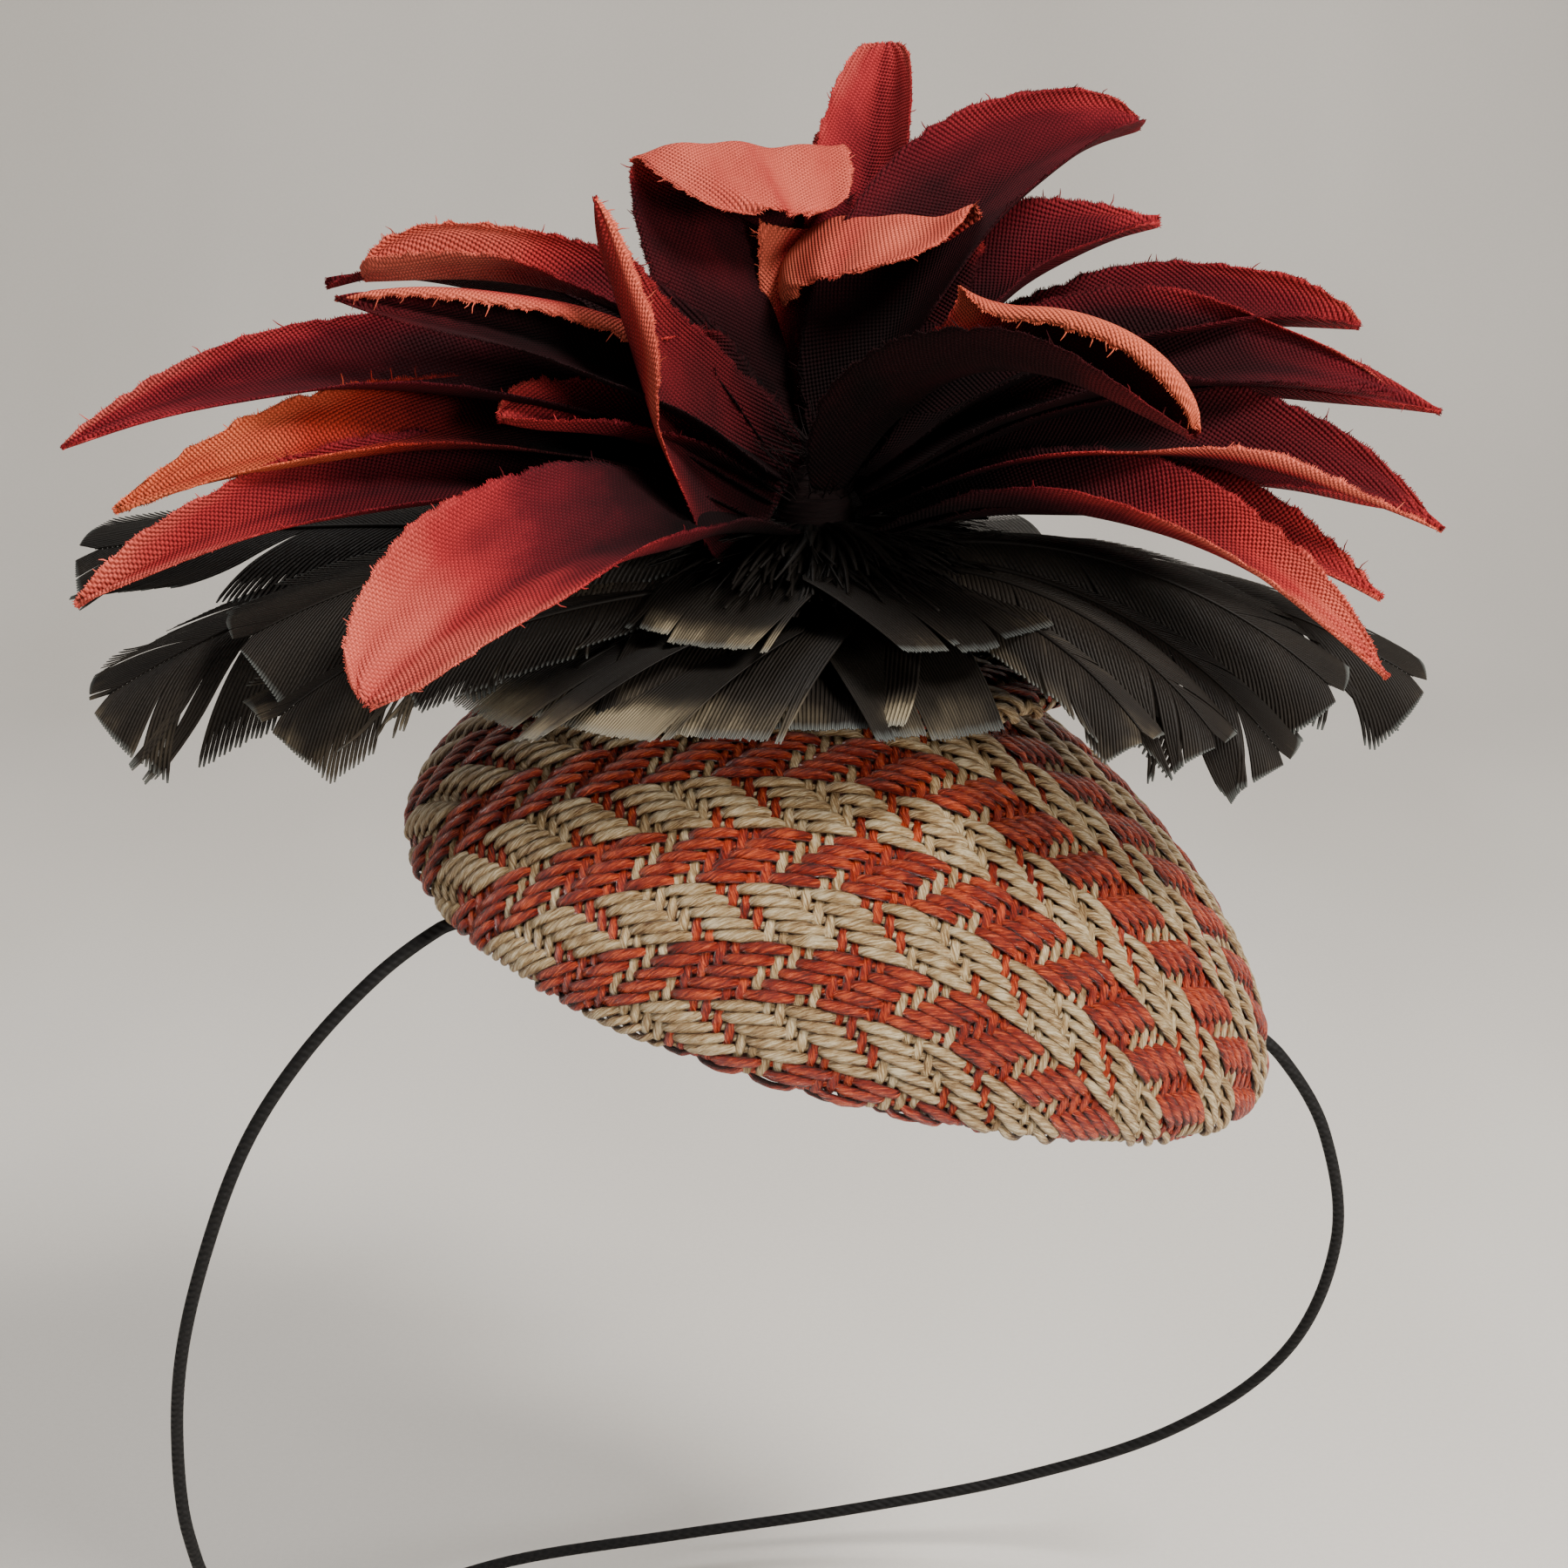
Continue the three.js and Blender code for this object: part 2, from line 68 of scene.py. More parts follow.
# The weave.
WARP_PITCH = 2.0
PICK_PITCH = 1.62
WARP_LEAN = math.radians(4)  # how far the warps lean from square to the weft at the top
GROUP = 5  # yarns of one colour side by side, and the repeat of the weave
FLOAT = 3  # warps that a weft yarn passes over at a time
WARP_PHASE = -1
PICK_PHASE = 5

# How each set of yarns lies: its pitch, its height on top and underneath, its half thickness, and
# its width as a share of the room between its neighbours.
WEFT = {"pitch": PICK_PITCH, "over": 0.42, "under": -0.56, "thick": 0.5, "fill": 1.12}
WARP = {"pitch": WARP_PITCH, "over": -0.16, "under": -0.6, "thick": 0.3, "fill": 0.88}

# The covered disc.
DISC_CENTRE = (2.0, -2.0, 43.4)
DISC_TILT = (math.radians(4), math.radians(5), 0.0)
DISC_RADIUS = 33.0
DISC_DROOP = 3.0
DISC_TOP = 2.0
DISC_EDGE = 1.15  # radius of the rounded edge
DISC_HEM = 9.5  # length of cloth past the disc's radius

FLOWER_X = -6.0
FLOWER_Y = -6.0
FLOWER = np.array([FLOWER_X, FLOWER_Y, 0.0])

# Petals. Columns: name, azimuth, foot radius, foot height, length, width, pitch at the foot and at
# the tip, roll at the foot and at the tip, cup.
PETALS = [
    ("petal_left_1", 185, 6, 64, 105, 22, 35, -25, -15, -40, 0.5),
    ("petal_left_2", 190, 7, 61, 95, 20, 30, -25, -15, -40, 0.5),
    ("petal_left_3", 195, 8, 58, 100, 20, 25, -30, -15, -40, 0.5),
    ("petal_left_4", 230, 8, 60, 82, 30, 15, -30, -10, -20, 0.5),
    ("petal_left_5", 190, 5, 68, 68, 26, 40, 5, -20, -60, 0.6),
    ("petal_left_6", 170, 5, 69.2, 70, 18, 55, -10, -10, -20, 0.6),
    ("petal_left_7", 160, 6, 66, 80, 18, 50, -10, 0, 0, 0.5),
    ("petal_left_8", 198, 6, 65.6, 42, 18, 28, 5, -10, -20, 0.5),
    ("petal_centre_1", 205, 7, 62, 54, 27, 35, 85, -80, -10, 0.5),
    ("petal_centre_2", 117.5, 7, 69, 65.5, 35, 62, 74, 0, 0, 0.05),
    ("petal_centre_3", 65, 5.5, 70.4, 50, 34, 62, 72, 0, 14, 0.05),
    ("petal_centre_4", 75, 5.2, 66, 72, 18, 60, 55, 0, 0, 0.5),
    ("petal_centre_5", 85, 6, 65.5, 65, 18, 60, 45, 0, 0, 0.5),
    ("petal_right_1", 35, 5, 69.2, 76, 30, 75, 5, 10, 20, 0.6),
    ("petal_right_2", 20, 6, 68.6, 60, 28, 60, 10, 10, 20, 0.6),
    ("petal_right_3", 10, 6, 67, 80, 24, 40, -10, 15, 30, 0.6),
    ("petal_right_4", 0, 6, 65.6, 80, 30, 35, -15, 20, 35, 0.6),
    ("petal_right_5", 5, 6.2, 64.2, 88, 24, 30, -15, 10, 30, 0.5),
    ("petal_right_6", 315, 5, 66, 70, 33, 55, -30, 10, 20, 0.8),
    ("petal_right_7", 350, 7, 62.2, 85, 22, 30, -30, 15, 40, 0.5),
    ("petal_right_8", 10, 8, 60.6, 80, 20, 15, -15, 10, 30, 0.5),
    ("petal_right_9", 335, 8, 59.2, 82, 18, 25, -45, 10, 30, 0.5),
    ("petal_right_10", 350, 8, 58.6, 75, 20, 20, -30, 10, 30, 0.5),
    ("petal_back_1", 75, 8, 60, 84, 30, 25, -15, 0, 0, 0.5),
    ("petal_back_2", 112, 8, 60, 84, 30, 22, -15, 0, 0, 0.5),
    ("petal_back_3", 140, 8, 60, 84, 30, 20, -20, 0, 0, 0.5),
    ("petal_back_4", 42, 8, 60, 84, 30, 20, -15, 0, 0, 0.5),
]

# Feathers. Columns: name, azimuth, foot height, length, width, pitch at the foot and at the cut
# end, roll at the foot and at the cut end.
FEATHERS = [
    ("feather_left_1", 178, 54, 98, 24, 12, -10, -25, -25),
    ("feather_left_2", 190, 55, 97, 30, 12, -32, -10, -20),
    ("feather_left_3", 206, 54, 76, 26, 12, -34, -10, -20),
    ("feather_left_4", 216, 52.4, 60, 22, 6, -14, -10, -20),
    ("feather_left_5", 200, 56.6, 76, 26, 14, -25, -10, -20),
    ("feather_front_1", 217, 51, 48, 24, 0, -32, 0, 0),
    ("feather_front_2", 232, 50, 42, 24, -2, -30, 0, 0),
    ("feather_front_3", 247, 51.3, 37, 26, 0, -38, 0, 0),
    ("feather_front_4", 268, 50, 32, 26, -5, -36, 0, 0),
    ("feather_front_5", 293, 51.3, 35, 18, -4, -40, 0, 0),
    ("feather_front_6", 242, 56, 27, 20, 0, -30, 0, 0),
    ("feather_front_7", 303, 56, 32, 24, 0, -25, 0, 0),
    ("feather_right_1", 318, 53, 54, 16, 12, -44, 5, 5),
    ("feather_right_2", 327, 54.2, 61, 24, 14, -48, 5, 5),
    ("feather_right_3", 337, 55.2, 68, 24, 10, -50, 10, 15),
    ("feather_right_4", 346, 56.5, 71, 22, 14, -42, 10, 25),
    ("feather_right_5", 357, 53.6, 82, 24, 10, -32, 10, 25),
    ("feather_back_1", 120, 54, 76, 26, 10, -30, 0, 0),
    ("feather_back_2", 70, 54, 76, 26, 10, -30, 0, 0),
]
FEATHER_FOOT_RADIUS = 8.4
FEATHER_CUP = 0.2

# The elastic's centre line as worn, in metres, from the left knot round behind the head.
ELASTIC_DIAMETER = 0.002
ELASTIC_ROUTE = [
    (-0.052, -0.0224, 0.0099), (-0.0547, -0.0224, 0.0066), (-0.060, -0.023, 0.0045),
    (-0.069, -0.025, -0.002), (-0.080, -0.025, -0.014), (-0.089, -0.023, -0.028),
    (-0.096, -0.020, -0.045), (-0.102, -0.015, -0.065), (-0.105, -0.009, -0.084),
    (-0.105, -0.005, -0.102), (-0.102, 0.004, -0.119), (-0.090, 0.024, -0.134),
    (-0.060, 0.053, -0.140), (-0.030, 0.066, -0.142), (0.002, 0.070, -0.139),
    (0.034, 0.066, -0.130), (0.060, 0.056, -0.115), (0.077, 0.044, -0.094),
    (0.083, 0.036, -0.070), (0.079, 0.030, -0.048), (0.0705, 0.026, -0.033),
    (0.0615, 0.0236, -0.0248), (0.054, 0.0204, -0.0188), (0.052, 0.0192, -0.0149),
]
KNOT_LEFT = (-0.0505, -0.0224, 0.0122)
KNOT_RIGHT = (0.0511, 0.0183, -0.0125)

# ---------------------------------------------------------------- camera

AIM = Vector((-0.0105, -0.017, 0.0245))
CAMERA_DISTANCE = 0.42
CAMERA_ELEVATION = math.radians(15)
CAMERA_ANGLE = math.radians(30)

camera_data = bpy.data.cameras.new("camera")
camera_data.sensor_width = 36
camera_data.lens_unit = "FOV"
camera_data.angle = CAMERA_ANGLE
camera_data.clip_start = 0.01
camera_data.clip_end = 20
camera = bpy.data.objects.new("camera", camera_data)
away = Vector((0, -math.cos(CAMERA_ELEVATION), math.sin(CAMERA_ELEVATION)))
camera.location = AIM + CAMERA_DISTANCE * away
camera.rotation_euler = (math.radians(90) - CAMERA_ELEVATION, 0, 0)
bpy.context.scene.collection.objects.link(camera)
bpy.context.scene.camera = camera

# ---------------------------------------------------------------- materials


class Nodes:
    """A small helper that builds a material's node tree, socket by socket."""

    def __init__(self, name):
        self.material = bpy.data.materials.new(name)
        self.material.use_nodes = True
        self.tree = self.material.node_tree
        self.shader = self.tree.nodes["Principled BSDF"]

    def node(self, kind, **settings):
        made = self.tree.nodes.new(kind)
        for key, value in settings.items():
            setattr(made, key, value)
        return made

    def put(self, value, socket):
        if isinstance(value, bpy.types.NodeSocket):
            self.tree.links.new(value, socket)
        elif socket.type == "RGBA":
            socket.default_value = (*value, 1)
        else:
            socket.default_value = value

    def vector(self, name):
        return self.node("ShaderNodeAttribute", attribute_name=name).outputs["Vector"]

    def value(self, name):
        return self.node("ShaderNodeAttribute", attribute_name=name).outputs["Fac"]

    def object_point(self):
        return self.node("ShaderNodeTexCoord").outputs["Object"]

    def noise(self, vector, scale, detail=3.0, roughness=0.5):
        made = self.node("ShaderNodeTexNoise")
        settings = {"Vector": vector, "Scale": scale, "Detail": detail, "Roughness": roughness}
        for name, value in settings.items():
            self.put(value, made.inputs[name])
        return made.outputs["Fac"]

    def math(self, operation, *values):
        made = self.node("ShaderNodeMath", operation=operation)
        for value, socket in zip(values, made.inputs):
            self.put(value, socket)
        return made.outputs[0]

    def plus(self, a, b):
        return self.math("ADD", a, b)

    def times(self, a, b):
        return self.math("MULTIPLY", a, b)

    def times_plus(self, a, b, c):
        return self.math("MULTIPLY_ADD", a, b, c)

    def wave(self, value, turns):
        return self.math("SINE", self.times(value, turns))

    def stretch(self, vector, *scale):
        made = self.node("ShaderNodeVectorMath", operation="MULTIPLY")
        self.put(vector, made.inputs[0])
        self.put(scale, made.inputs[1])
        return made.outputs[0]

    def split(self, vector):
        made = self.node("ShaderNodeSeparateXYZ")
        self.put(vector, made.inputs[0])
        return made.outputs

    def join(self, x, y, z):
        made = self.node("ShaderNodeCombineXYZ")
        for value, socket in zip((x, y, z), made.inputs):
            self.put(value, socket)
        return made.outputs[0]

    def ramp(self, factor, stops):
        made = self.node("ShaderNodeValToRGB")
        elements = made.color_ramp.elements
        while len(elements) < len(stops):
            elements.new(0.5)
        for element, (place, color) in zip(elements, stops):
            element.position = place
            element.color = (*color, 1)
        self.put(factor, made.inputs[0])
        return made.outputs["Color"]

    def mix(self, factor, a, b, blend="MIX"):
        made = self.node("ShaderNodeMix", data_type="RGBA", blend_type=blend)
        for value, number in ((factor, 0), (a, 6), (b, 7)):
            self.put(value, made.inputs[number])
        return made.outputs[2]

    def span(self, value, low, high):
        made = self.node("ShaderNodeMapRange")
        self.put(value, made.inputs["Value"])
        self.put(low, made.inputs["To Min"])
        self.put(high, made.inputs["To Max"])
        return made.outputs["Result"]

    def bump(self, height, strength, distance):
        made = self.node("ShaderNodeBump")
        self.put(strength, made.inputs["Strength"])
        self.put(distance, made.inputs["Distance"])
        self.put(height, made.inputs["Height"])
        return made.outputs["Normal"]

    def finish(self, color, roughness, normal, **others):
        settings = {"Base Color": color, "Roughness": roughness, "Normal": normal}
        for name, value in others.items():
            settings[name.replace("_", " ").title().replace("Ior", "IOR")] = value
        for name, value in settings.items():
            self.put(value, self.shader.inputs[name])
        return self.material


def yarn_material(name, dark, body, light):
    """A silky bundle of filaments: slanted streaks along the yarn, partly the filaments' own tone and partly
    painted highlight and shade, and small glints.
    """
    n = Nodes(name)
    yarn = n.vector("yarn")
    x, y, z = n.split(yarn)
    slanted = n.join(x, n.times_plus(x, 0.5, y), z)
    streaks = n.noise(n.stretch(slanted, 0.5, 3.0, 1.0), 1.0, 4.0, 0.7)
    patches = n.noise(n.stretch(yarn, 0.3, 1.0, 1.0), 0.6, 2.0)
    tone = n.plus(n.times(streaks, 1.9), n.times(patches, 0.25))
    # Painted shade: the shade attribute darkens the yarn's flanks and underside.
    tone = n.times_plus(n.value("shade"), 0.5, n.plus(tone, -0.84))
    # Ramp: the dark end is painted shade on the flanks and in the darkest streaks, the middle is the yarn's
    # colour, the light end a painted highlight on the filaments.
    color = n.ramp(tone, [(0.12, dark), (0.46, body), (0.8, light)])
    fine = n.noise(n.stretch(slanted, 1.2, 9.0, 1.0), 1.0, 3.0, 0.6)
    normal = n.bump(n.plus(streaks, n.times(fine, 0.6)), 1.0, 0.0012)
    return n.finish(color, n.span(streaks, 0.14, 0.36), normal, specular_ior_level=0.9)


def petal_material():
    """Plain-weave cloth, near black at the foot and coral at the tip: dyed so, with painted shade deep in the
    flower, painted light on rolled edges, and painted highlight and shade on the threads.
    """
    n = Nodes("petal_cloth")
    thread_pitch = 0.39
    flat = n.vector("flat")
    x, y, _ = n.split(flat)
    across = n.wave(x, math.pi / thread_pitch)
    along = n.wave(y, math.pi / thread_pitch)
    weave = n.times(across, along)
    ribs = n.times(n.plus(n.math("ABSOLUTE", across), n.math("ABSOLUTE", along)), 0.5)
    slubs = n.noise(n.stretch(flat, 0.5, 5.0, 1.0), 1.0)
    blotches = n.noise(n.stretch(flat, 0.09, 0.16, 1.0), 1.0)
    dye = n.times_plus(n.plus(blotches, -0.5), 0.34, n.value("dye"))
    dye = n.times_plus(n.plus(slubs, -0.5), 0.1, dye)
    pink = n.ramp(dye, [
        (0.0, (0.006, 0.0013, 0.0016)), (0.25, (0.028, 0.0030, 0.0050)), (0.5, (0.105, 0.006, 0.011)),
        (0.74, (0.33, 0.022, 0.030)), (1.0, (0.60, 0.105, 0.095)),
    ])
    orange = n.ramp(dye, [
        (0.0, (0.0045, 0.0010, 0.0010)), (0.25, (0.024, 0.0022, 0.0025)), (0.5, (0.13, 0.008, 0.007)),
        (0.74, (0.40, 0.032, 0.018)), (1.0, (0.64, 0.125, 0.055)),
    ])
    color = n.mix(n.value("warm"), pink, orange)
    # Painted highlight on the threads' crowns and painted shade between the threads, multiplied into the
    # colour.
    thread_light_and_shade = n.span(n.times_plus(weave, 0.35, ribs), 0.36, 1.34)
    color = n.mix(1.0, color, n.join(thread_light_and_shade, thread_light_and_shade, thread_light_and_shade), "MULTIPLY")
    normal = n.bump(n.times_plus(weave, 0.5, n.times(slubs, 0.5)), 1.0, 0.0004)
    return n.finish(color, n.span(blotches, 0.85, 0.95), normal, specular_ior_level=0.12)


def feather_material():
    """Black barbs with a painted bronze sheen that comes and goes, and pale cut tips."""
    n = Nodes("feather_barbs")
    flat = n.vector("flat")
    patches = n.noise(n.stretch(flat, 0.06, 0.09, 1.0), 1.0, 2.0)
    lines = n.noise(n.stretch(flat, 0.15, 2.4, 1.0), 1.0, 4.0, 0.7)
    # Painted sheen: bronze mixed into the black in patches, strongest towards the cut ends.
    bronze = n.times(n.times_plus(patches, 3.2, -0.75), n.value("bronze"))
    color = n.ramp(n.times(bronze, n.span(lines, 0.5, 1.3)), [
        (0.0, (0.0055, 0.0040, 0.0030)), (0.3, (0.014, 0.0105, 0.0075)), (0.6, (0.055, 0.043, 0.028)),
        (1.0, (0.24, 0.195, 0.125)),
    ])
    color = n.mix(n.value("cut"), color, (0.22, 0.24, 0.23))
    return n.finish(color, n.span(lines, 0.42, 0.7), n.bump(lines, 0.9, 0.0006), specular_ior_level=0.17)


def cloth_material(name, dark, light, pitch, rough, sheen, depth):
    """Plain cloth that is not a feature: a fine weave over soft blotches."""
    n = Nodes(name)
    x, y, _ = n.split(n.object_point())
    turns = 2 * math.pi / pitch
    weave = n.times(n.wave(x, turns), n.wave(y, turns))
    blotches = n.noise(n.object_point(), 90.0, 4.0)
    color = n.mix(n.times_plus(weave, 0.15, blotches), dark, light)
    roughness = n.span(blotches, rough - 0.06, rough + 0.06)
    return n.finish(color, roughness, n.bump(weave, 0.5, depth), sheen_weight=sheen)


def felt_material():
    n = Nodes("black_felt")
    fibres = n.noise(n.stretch(n.object_point(), 1.0, 1.0, 3.0), 1400.0, 6.0, 0.7)
    mottle = n.noise(n.object_point(), 160.0, 4.0)
    color = n.mix(n.times(fibres, mottle), (0.006, 0.006, 0.006), (0.07, 0.065, 0.062))
    return n.finish(color, 0.95, n.bump(fibres, 0.9, 0.0004), sheen_weight=0.5, sheen_roughness=0.6)


def braid_material():
    """Round braided elastic: two crossing helices of fine yarn."""
    n = Nodes("braided_elastic")
    x, y, z = n.split(n.object_point())
    turn = n.times(n.plus(n.times(x, 900.0), n.times(y, 700.0)), 3.0)
    rise = n.times(z, 5200.0)
    left = n.math("SINE", n.plus(rise, turn))
    right = n.math("SINE", n.math("SUBTRACT", rise, turn))
    braid = n.times(n.plus(left, right), 0.5)
    fuzz = n.noise(n.object_point(), 2500.0, 4.0)
    color = n.mix(n.times_plus(braid, 0.3, fuzz), (0.002, 0.002, 0.002), (0.012, 0.011, 0.011))
    return n.finish(color, n.span(fuzz, 0.6, 0.8), n.bump(braid, 0.7, 0.0002), specular_ior_level=0.2)


def wire_material():
    n = Nodes("wrapped_wire")
    wrap = n.noise(n.stretch(n.object_point(), 1.0, 1.0, 0.2), 2600.0, 4.0)
    color = n.mix(wrap, (0.42, 0.40, 0.36), (0.72, 0.70, 0.64))
    return n.finish(color, n.span(wrap, 0.45, 0.65), n.bump(wrap, 0.6, 0.0001), metallic=0.2)


def buckram_material():
    n = Nodes("buckram")
    x, y, _ = n.split(n.object_point())
    grid = n.math("MAXIMUM", n.wave(x, 4200.0), n.wave(y, 4200.0))
    starch = n.noise(n.object_point(), 300.0, 5.0)
    color = n.mix(n.times_plus(grid, 0.3, starch), (0.42, 0.38, 0.30), (0.82, 0.79, 0.70))
    return n.finish(color, n.span(starch, 0.7, 0.9), n.bump(grid, 0.8, 0.0003))


def hub_material():
    n = Nodes("wrapped_hub")
    wrap = n.noise(n.stretch(n.object_point(), 1.0, 1.0, 12.0), 260.0, 5.0, 0.6)
    color = n.mix(wrap, (0.002, 0.001, 0.001), (0.012, 0.004, 0.004))
    return n.finish(color, n.span(wrap, 0.65, 0.9), n.bump(wrap, 0.8, 0.0005), specular_ior_level=0.15)


# Colours of each yarn: its darkest, painted shade; its own colour; its lightest, a painted highlight.
CREAM_YARN = yarn_material("cream_yarn", (0.15, 0.060, 0.018), (0.59, 0.38, 0.175), (1.0, 0.83, 0.53))
RUST_YARN = yarn_material("rust_yarn", (0.055, 0.003, 0.001), (0.34, 0.015, 0.003), (0.86, 0.13, 0.035))
GROUND_CLOTH = cloth_material(
    "ground_cloth", (0.10, 0.02, 0.012), (0.22, 0.07, 0.04), pitch=0.0011, rough=0.8, sheen=0.2, depth=0.0002,
)
LINING_SATIN = cloth_material(
    "lining_satin", (0.010, 0.009, 0.010), (0.03, 0.027, 0.03), pitch=0.0005, rough=0.42, sheen=0.3,
    depth=0.00006,
)
PETAL_CLOTH = petal_material()
FEATHER_BARBS = feather_material()
BLACK_FELT = felt_material()
BRAID = braid_material()
WRAPPED_WIRE = wire_material()
BUCKRAM = buckram_material()
WRAPPED_HUB = hub_material()

# ---------------------------------------------------------------- meshes


def grid_faces(rows, columns, ring=False):
    """Quads over a rows x columns block of points; ring joins the last column to the first."""
    row, column = np.meshgrid(np.arange(rows - 1), np.arange(columns if ring else columns - 1), indexing="ij")
    a = row * columns + column
    b = row * columns + (column + 1) % columns
    return np.stack([a, b, b + columns, a + columns], -1).reshape(-1, 4)


class Shape:
    """Points, faces and point attributes gathered from several parts of one piece."""

    def __init__(self):
        self.points, self.faces, self.values, self.count = [], [], {}, 0

    def add(self, points, *face_sets, **values):
        points = np.asarray(points, float).reshape(-1, 3)
        self.points.append(points)
        for faces in face_sets:
            self.faces += (np.asarray(faces) + self.count).tolist()
        for name, value in values.items():
            self.values.setdefault(name, []).append(np.asarray(value, np.float32))
        self.count += len(points)

    def piece(self, name, material, slot, nodes=()):
        mesh = bpy.data.meshes.new(name)
        mesh.from_pydata(np.concatenate(self.points) * MM, [], self.faces)
        for key, parts in self.values.items():
            value = np.concatenate(parts)
            kind = "FLOAT_VECTOR" if value.ndim == 2 else "FLOAT"
            stored = mesh.attributes.new(key, kind, "POINT")
            stored.data.foreach_set("vector" if value.ndim == 2 else "value", value.ravel())
        mesh.shade_smooth()
        mesh.materials.append(material)
        made = bpy.data.objects.new(name, mesh)
        bpy.context.scene.collection.objects.link(made)
        return place_piece(made, nodes)


def place_piece(made, nodes=()):
    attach(made, "root")
    if nodes:
        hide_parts(*nodes)
    return made


def smooth_step(low, high, value):
    t = np.clip((value - low) / (high - low), 0, 1)
    return t * t * (3 - 2 * t)


def unit(vectors):
    return vectors / np.maximum(np.linalg.norm(vectors, axis=-1, keepdims=True), 1e-9)


def running_sum(steps):
    """Sums of the steps so far, from zero before the first one."""
    return np.concatenate([np.zeros((1,) + steps.shape[1:]), np.cumsum(steps, 0)])


def full_turn(count):
    return 2 * np.pi * np.arange(count) / count


def tube(shape, centres, sides, ups, half_widths, half_heights, count, **values):
    """A tube with flattened round sections and closed ends, as a run of rings."""
    turn = full_turn(count)
    ring = centres[:, None] + (half_widths[:, None] * np.cos(turn))[..., None] * sides[:, None]
    ring = ring + (half_heights[:, None] * np.sin(turn))[..., None] * ups[:, None]
    side = np.arange(count)
    after = (side + 1) % count
    last_ring = (len(centres) - 1) * count
    first_cap = np.stack([after, side, np.full(count, last_ring + count)], -1)
    last_cap = np.stack([last_ring + side, last_ring + after, np.full(count, last_ring + count + 1)], -1)
    caps = np.stack([first_cap, last_cap], 1).reshape(-1, 3)
    for name, value in values.items():
        values[name] = np.concatenate([value.reshape(-1, *value.shape[2:]), value[[0, -1], 0]])
    points = np.concatenate([ring.reshape(-1, 3), centres[[0, -1]]])
    shape.add(points, grid_faces(len(centres), count, ring=True), caps, **values)


def ring_places(limit, rings, sides):
    """Places on rings round the middle, from a small ring out to the limit."""
    place = np.linspace(0.0, limit, rings)[1:]
    angle = full_turn(sides)
    return np.outer(place, np.cos(angle)).ravel(), np.outer(place, np.sin(angle)).ravel()


def closed_cloth(layers, middles, rings, sides):
    """A thin cloth as two layers of rings, each closed at its middle and joined at their rim."""
    shape = Shape()
    side = np.arange(sides)
    after = (side + 1) % sides
    count = (rings - 1) * sides
    quads = grid_faces(rings - 1, sides, ring=True)
    fan = np.stack([np.full(sides, count), side, after], -1)
    for layer, middle, order in zip(layers, middles, (1, -1)):
        shape.add(np.concatenate([layer, [middle]]), quads[:, ::order], fan[:, ::order])
    rim = count - sides
    below = rim + count + 1
    shape.faces += np.stack([rim + side, below + side, below + after, rim + after], -1).tolist()
    return shape

# ---------------------------------------------------------------- the base and its woven cover


def tilt(angles):
    pitch, roll, yaw = (np.array(Euler(turn).to_matrix()) for turn in np.diag(angles))
    return yaw @ pitch @ roll


BASE_TURN = tilt(BASE_TILT)
DISC_TURN = tilt(DISC_TILT)
NO_SHIFT = np.zeros(3)
DISC_SHIFT = np.array(DISC_CENTRE)


def signed_power(value, power):
    return np.sign(value) * np.abs(value) ** power


def dome_surface(p, q):
    """The dome's outside over a plane of places: 0 at the top, 1 at the rim, then the fold."""
    place = np.hypot(p, q)
    angle = np.arctan2(q, p)
    on_dome = np.minimum(place, 1) * np.pi / 2
    u = HALF_LENGTH * signed_power(np.cos(angle), 2 / PLAN_POWER)
    v = HALF_DEPTH * signed_power(np.sin(angle), 2 / PLAN_POWER) * (1 - TIP_TAPER * u / HALF_LENGTH)
    power = PROFILE_POWER + (TIP_PROFILE_POWER - PROFILE_POWER) * np.maximum(np.cos(angle), 0) ** 2
    spread = np.sin(on_dome) ** (2 / power)
    rise = np.maximum(np.cos(on_dome), 0) ** (2 / power)
    dip = RIM_DIP * spread * (RIM_LIFT * (v / HALF_DEPTH) ** 2 - (u / HALF_LENGTH) ** 2)
    past = np.maximum(place - 1, 0) * RIM_PACE
    turn = np.minimum(past / FOLD_RADIUS, np.pi)
    up = np.maximum(past - np.pi * FOLD_RADIUS, 0)
    out_u, out_v = u / HALF_LENGTH ** 2, v / HALF_DEPTH ** 2
    reach = np.hypot(out_u, out_v)
    inward = FOLD_RADIUS * (1 - np.cos(turn)) + HEM_LEAN * up
    height = DOME_HEIGHT * rise + dip + up - FOLD_RADIUS * np.sin(turn)
    return np.stack([u * spread - out_u / reach * inward, v * spread - out_v / reach * inward, height], -1)


def disc_surface(p, q):
    """The covered disc's outside: a dish, a rounded edge, and the turn under. Places are radii."""
    radius = np.hypot(p, q)
    angle = np.arctan2(q, p)
    edge = DISC_RADIUS - 1.1
    past = np.maximum(radius - edge, 0)
    turn = np.minimum(past / DISC_EDGE, np.pi)
    under = np.maximum(past - np.pi * DISC_EDGE, 0)
    across = np.minimum(radius, edge) + DISC_EDGE * np.sin(turn) - under
    height = DISC_TOP - DISC_DROOP * (across / DISC_RADIUS) ** 2 - DISC_EDGE * (1 - np.cos(turn))
    return np.stack([across * np.cos(angle), across * np.sin(angle), height], -1)


def surface_normals(surface, places, step):
    p, q = places.T
    along = surface(p + step, q) - surface(p - step, q)
    across = surface(p, q + step) - surface(p, q - step)
    return unit(np.cross(along, across))


def axis_places(surface, direction, pitch, count, limit):
    """Places at equal lengths along the surface, going out from the top in one direction."""
    places = np.linspace(0, limit, 4000)
    points = surface(places * direction[0], places * direction[1])
    lengths = running_sum(np.linalg.norm(np.diff(points, axis=0), axis=1))
    return np.interp(np.arange(count + 1) * pitch, lengths, places)[:, None] * direction


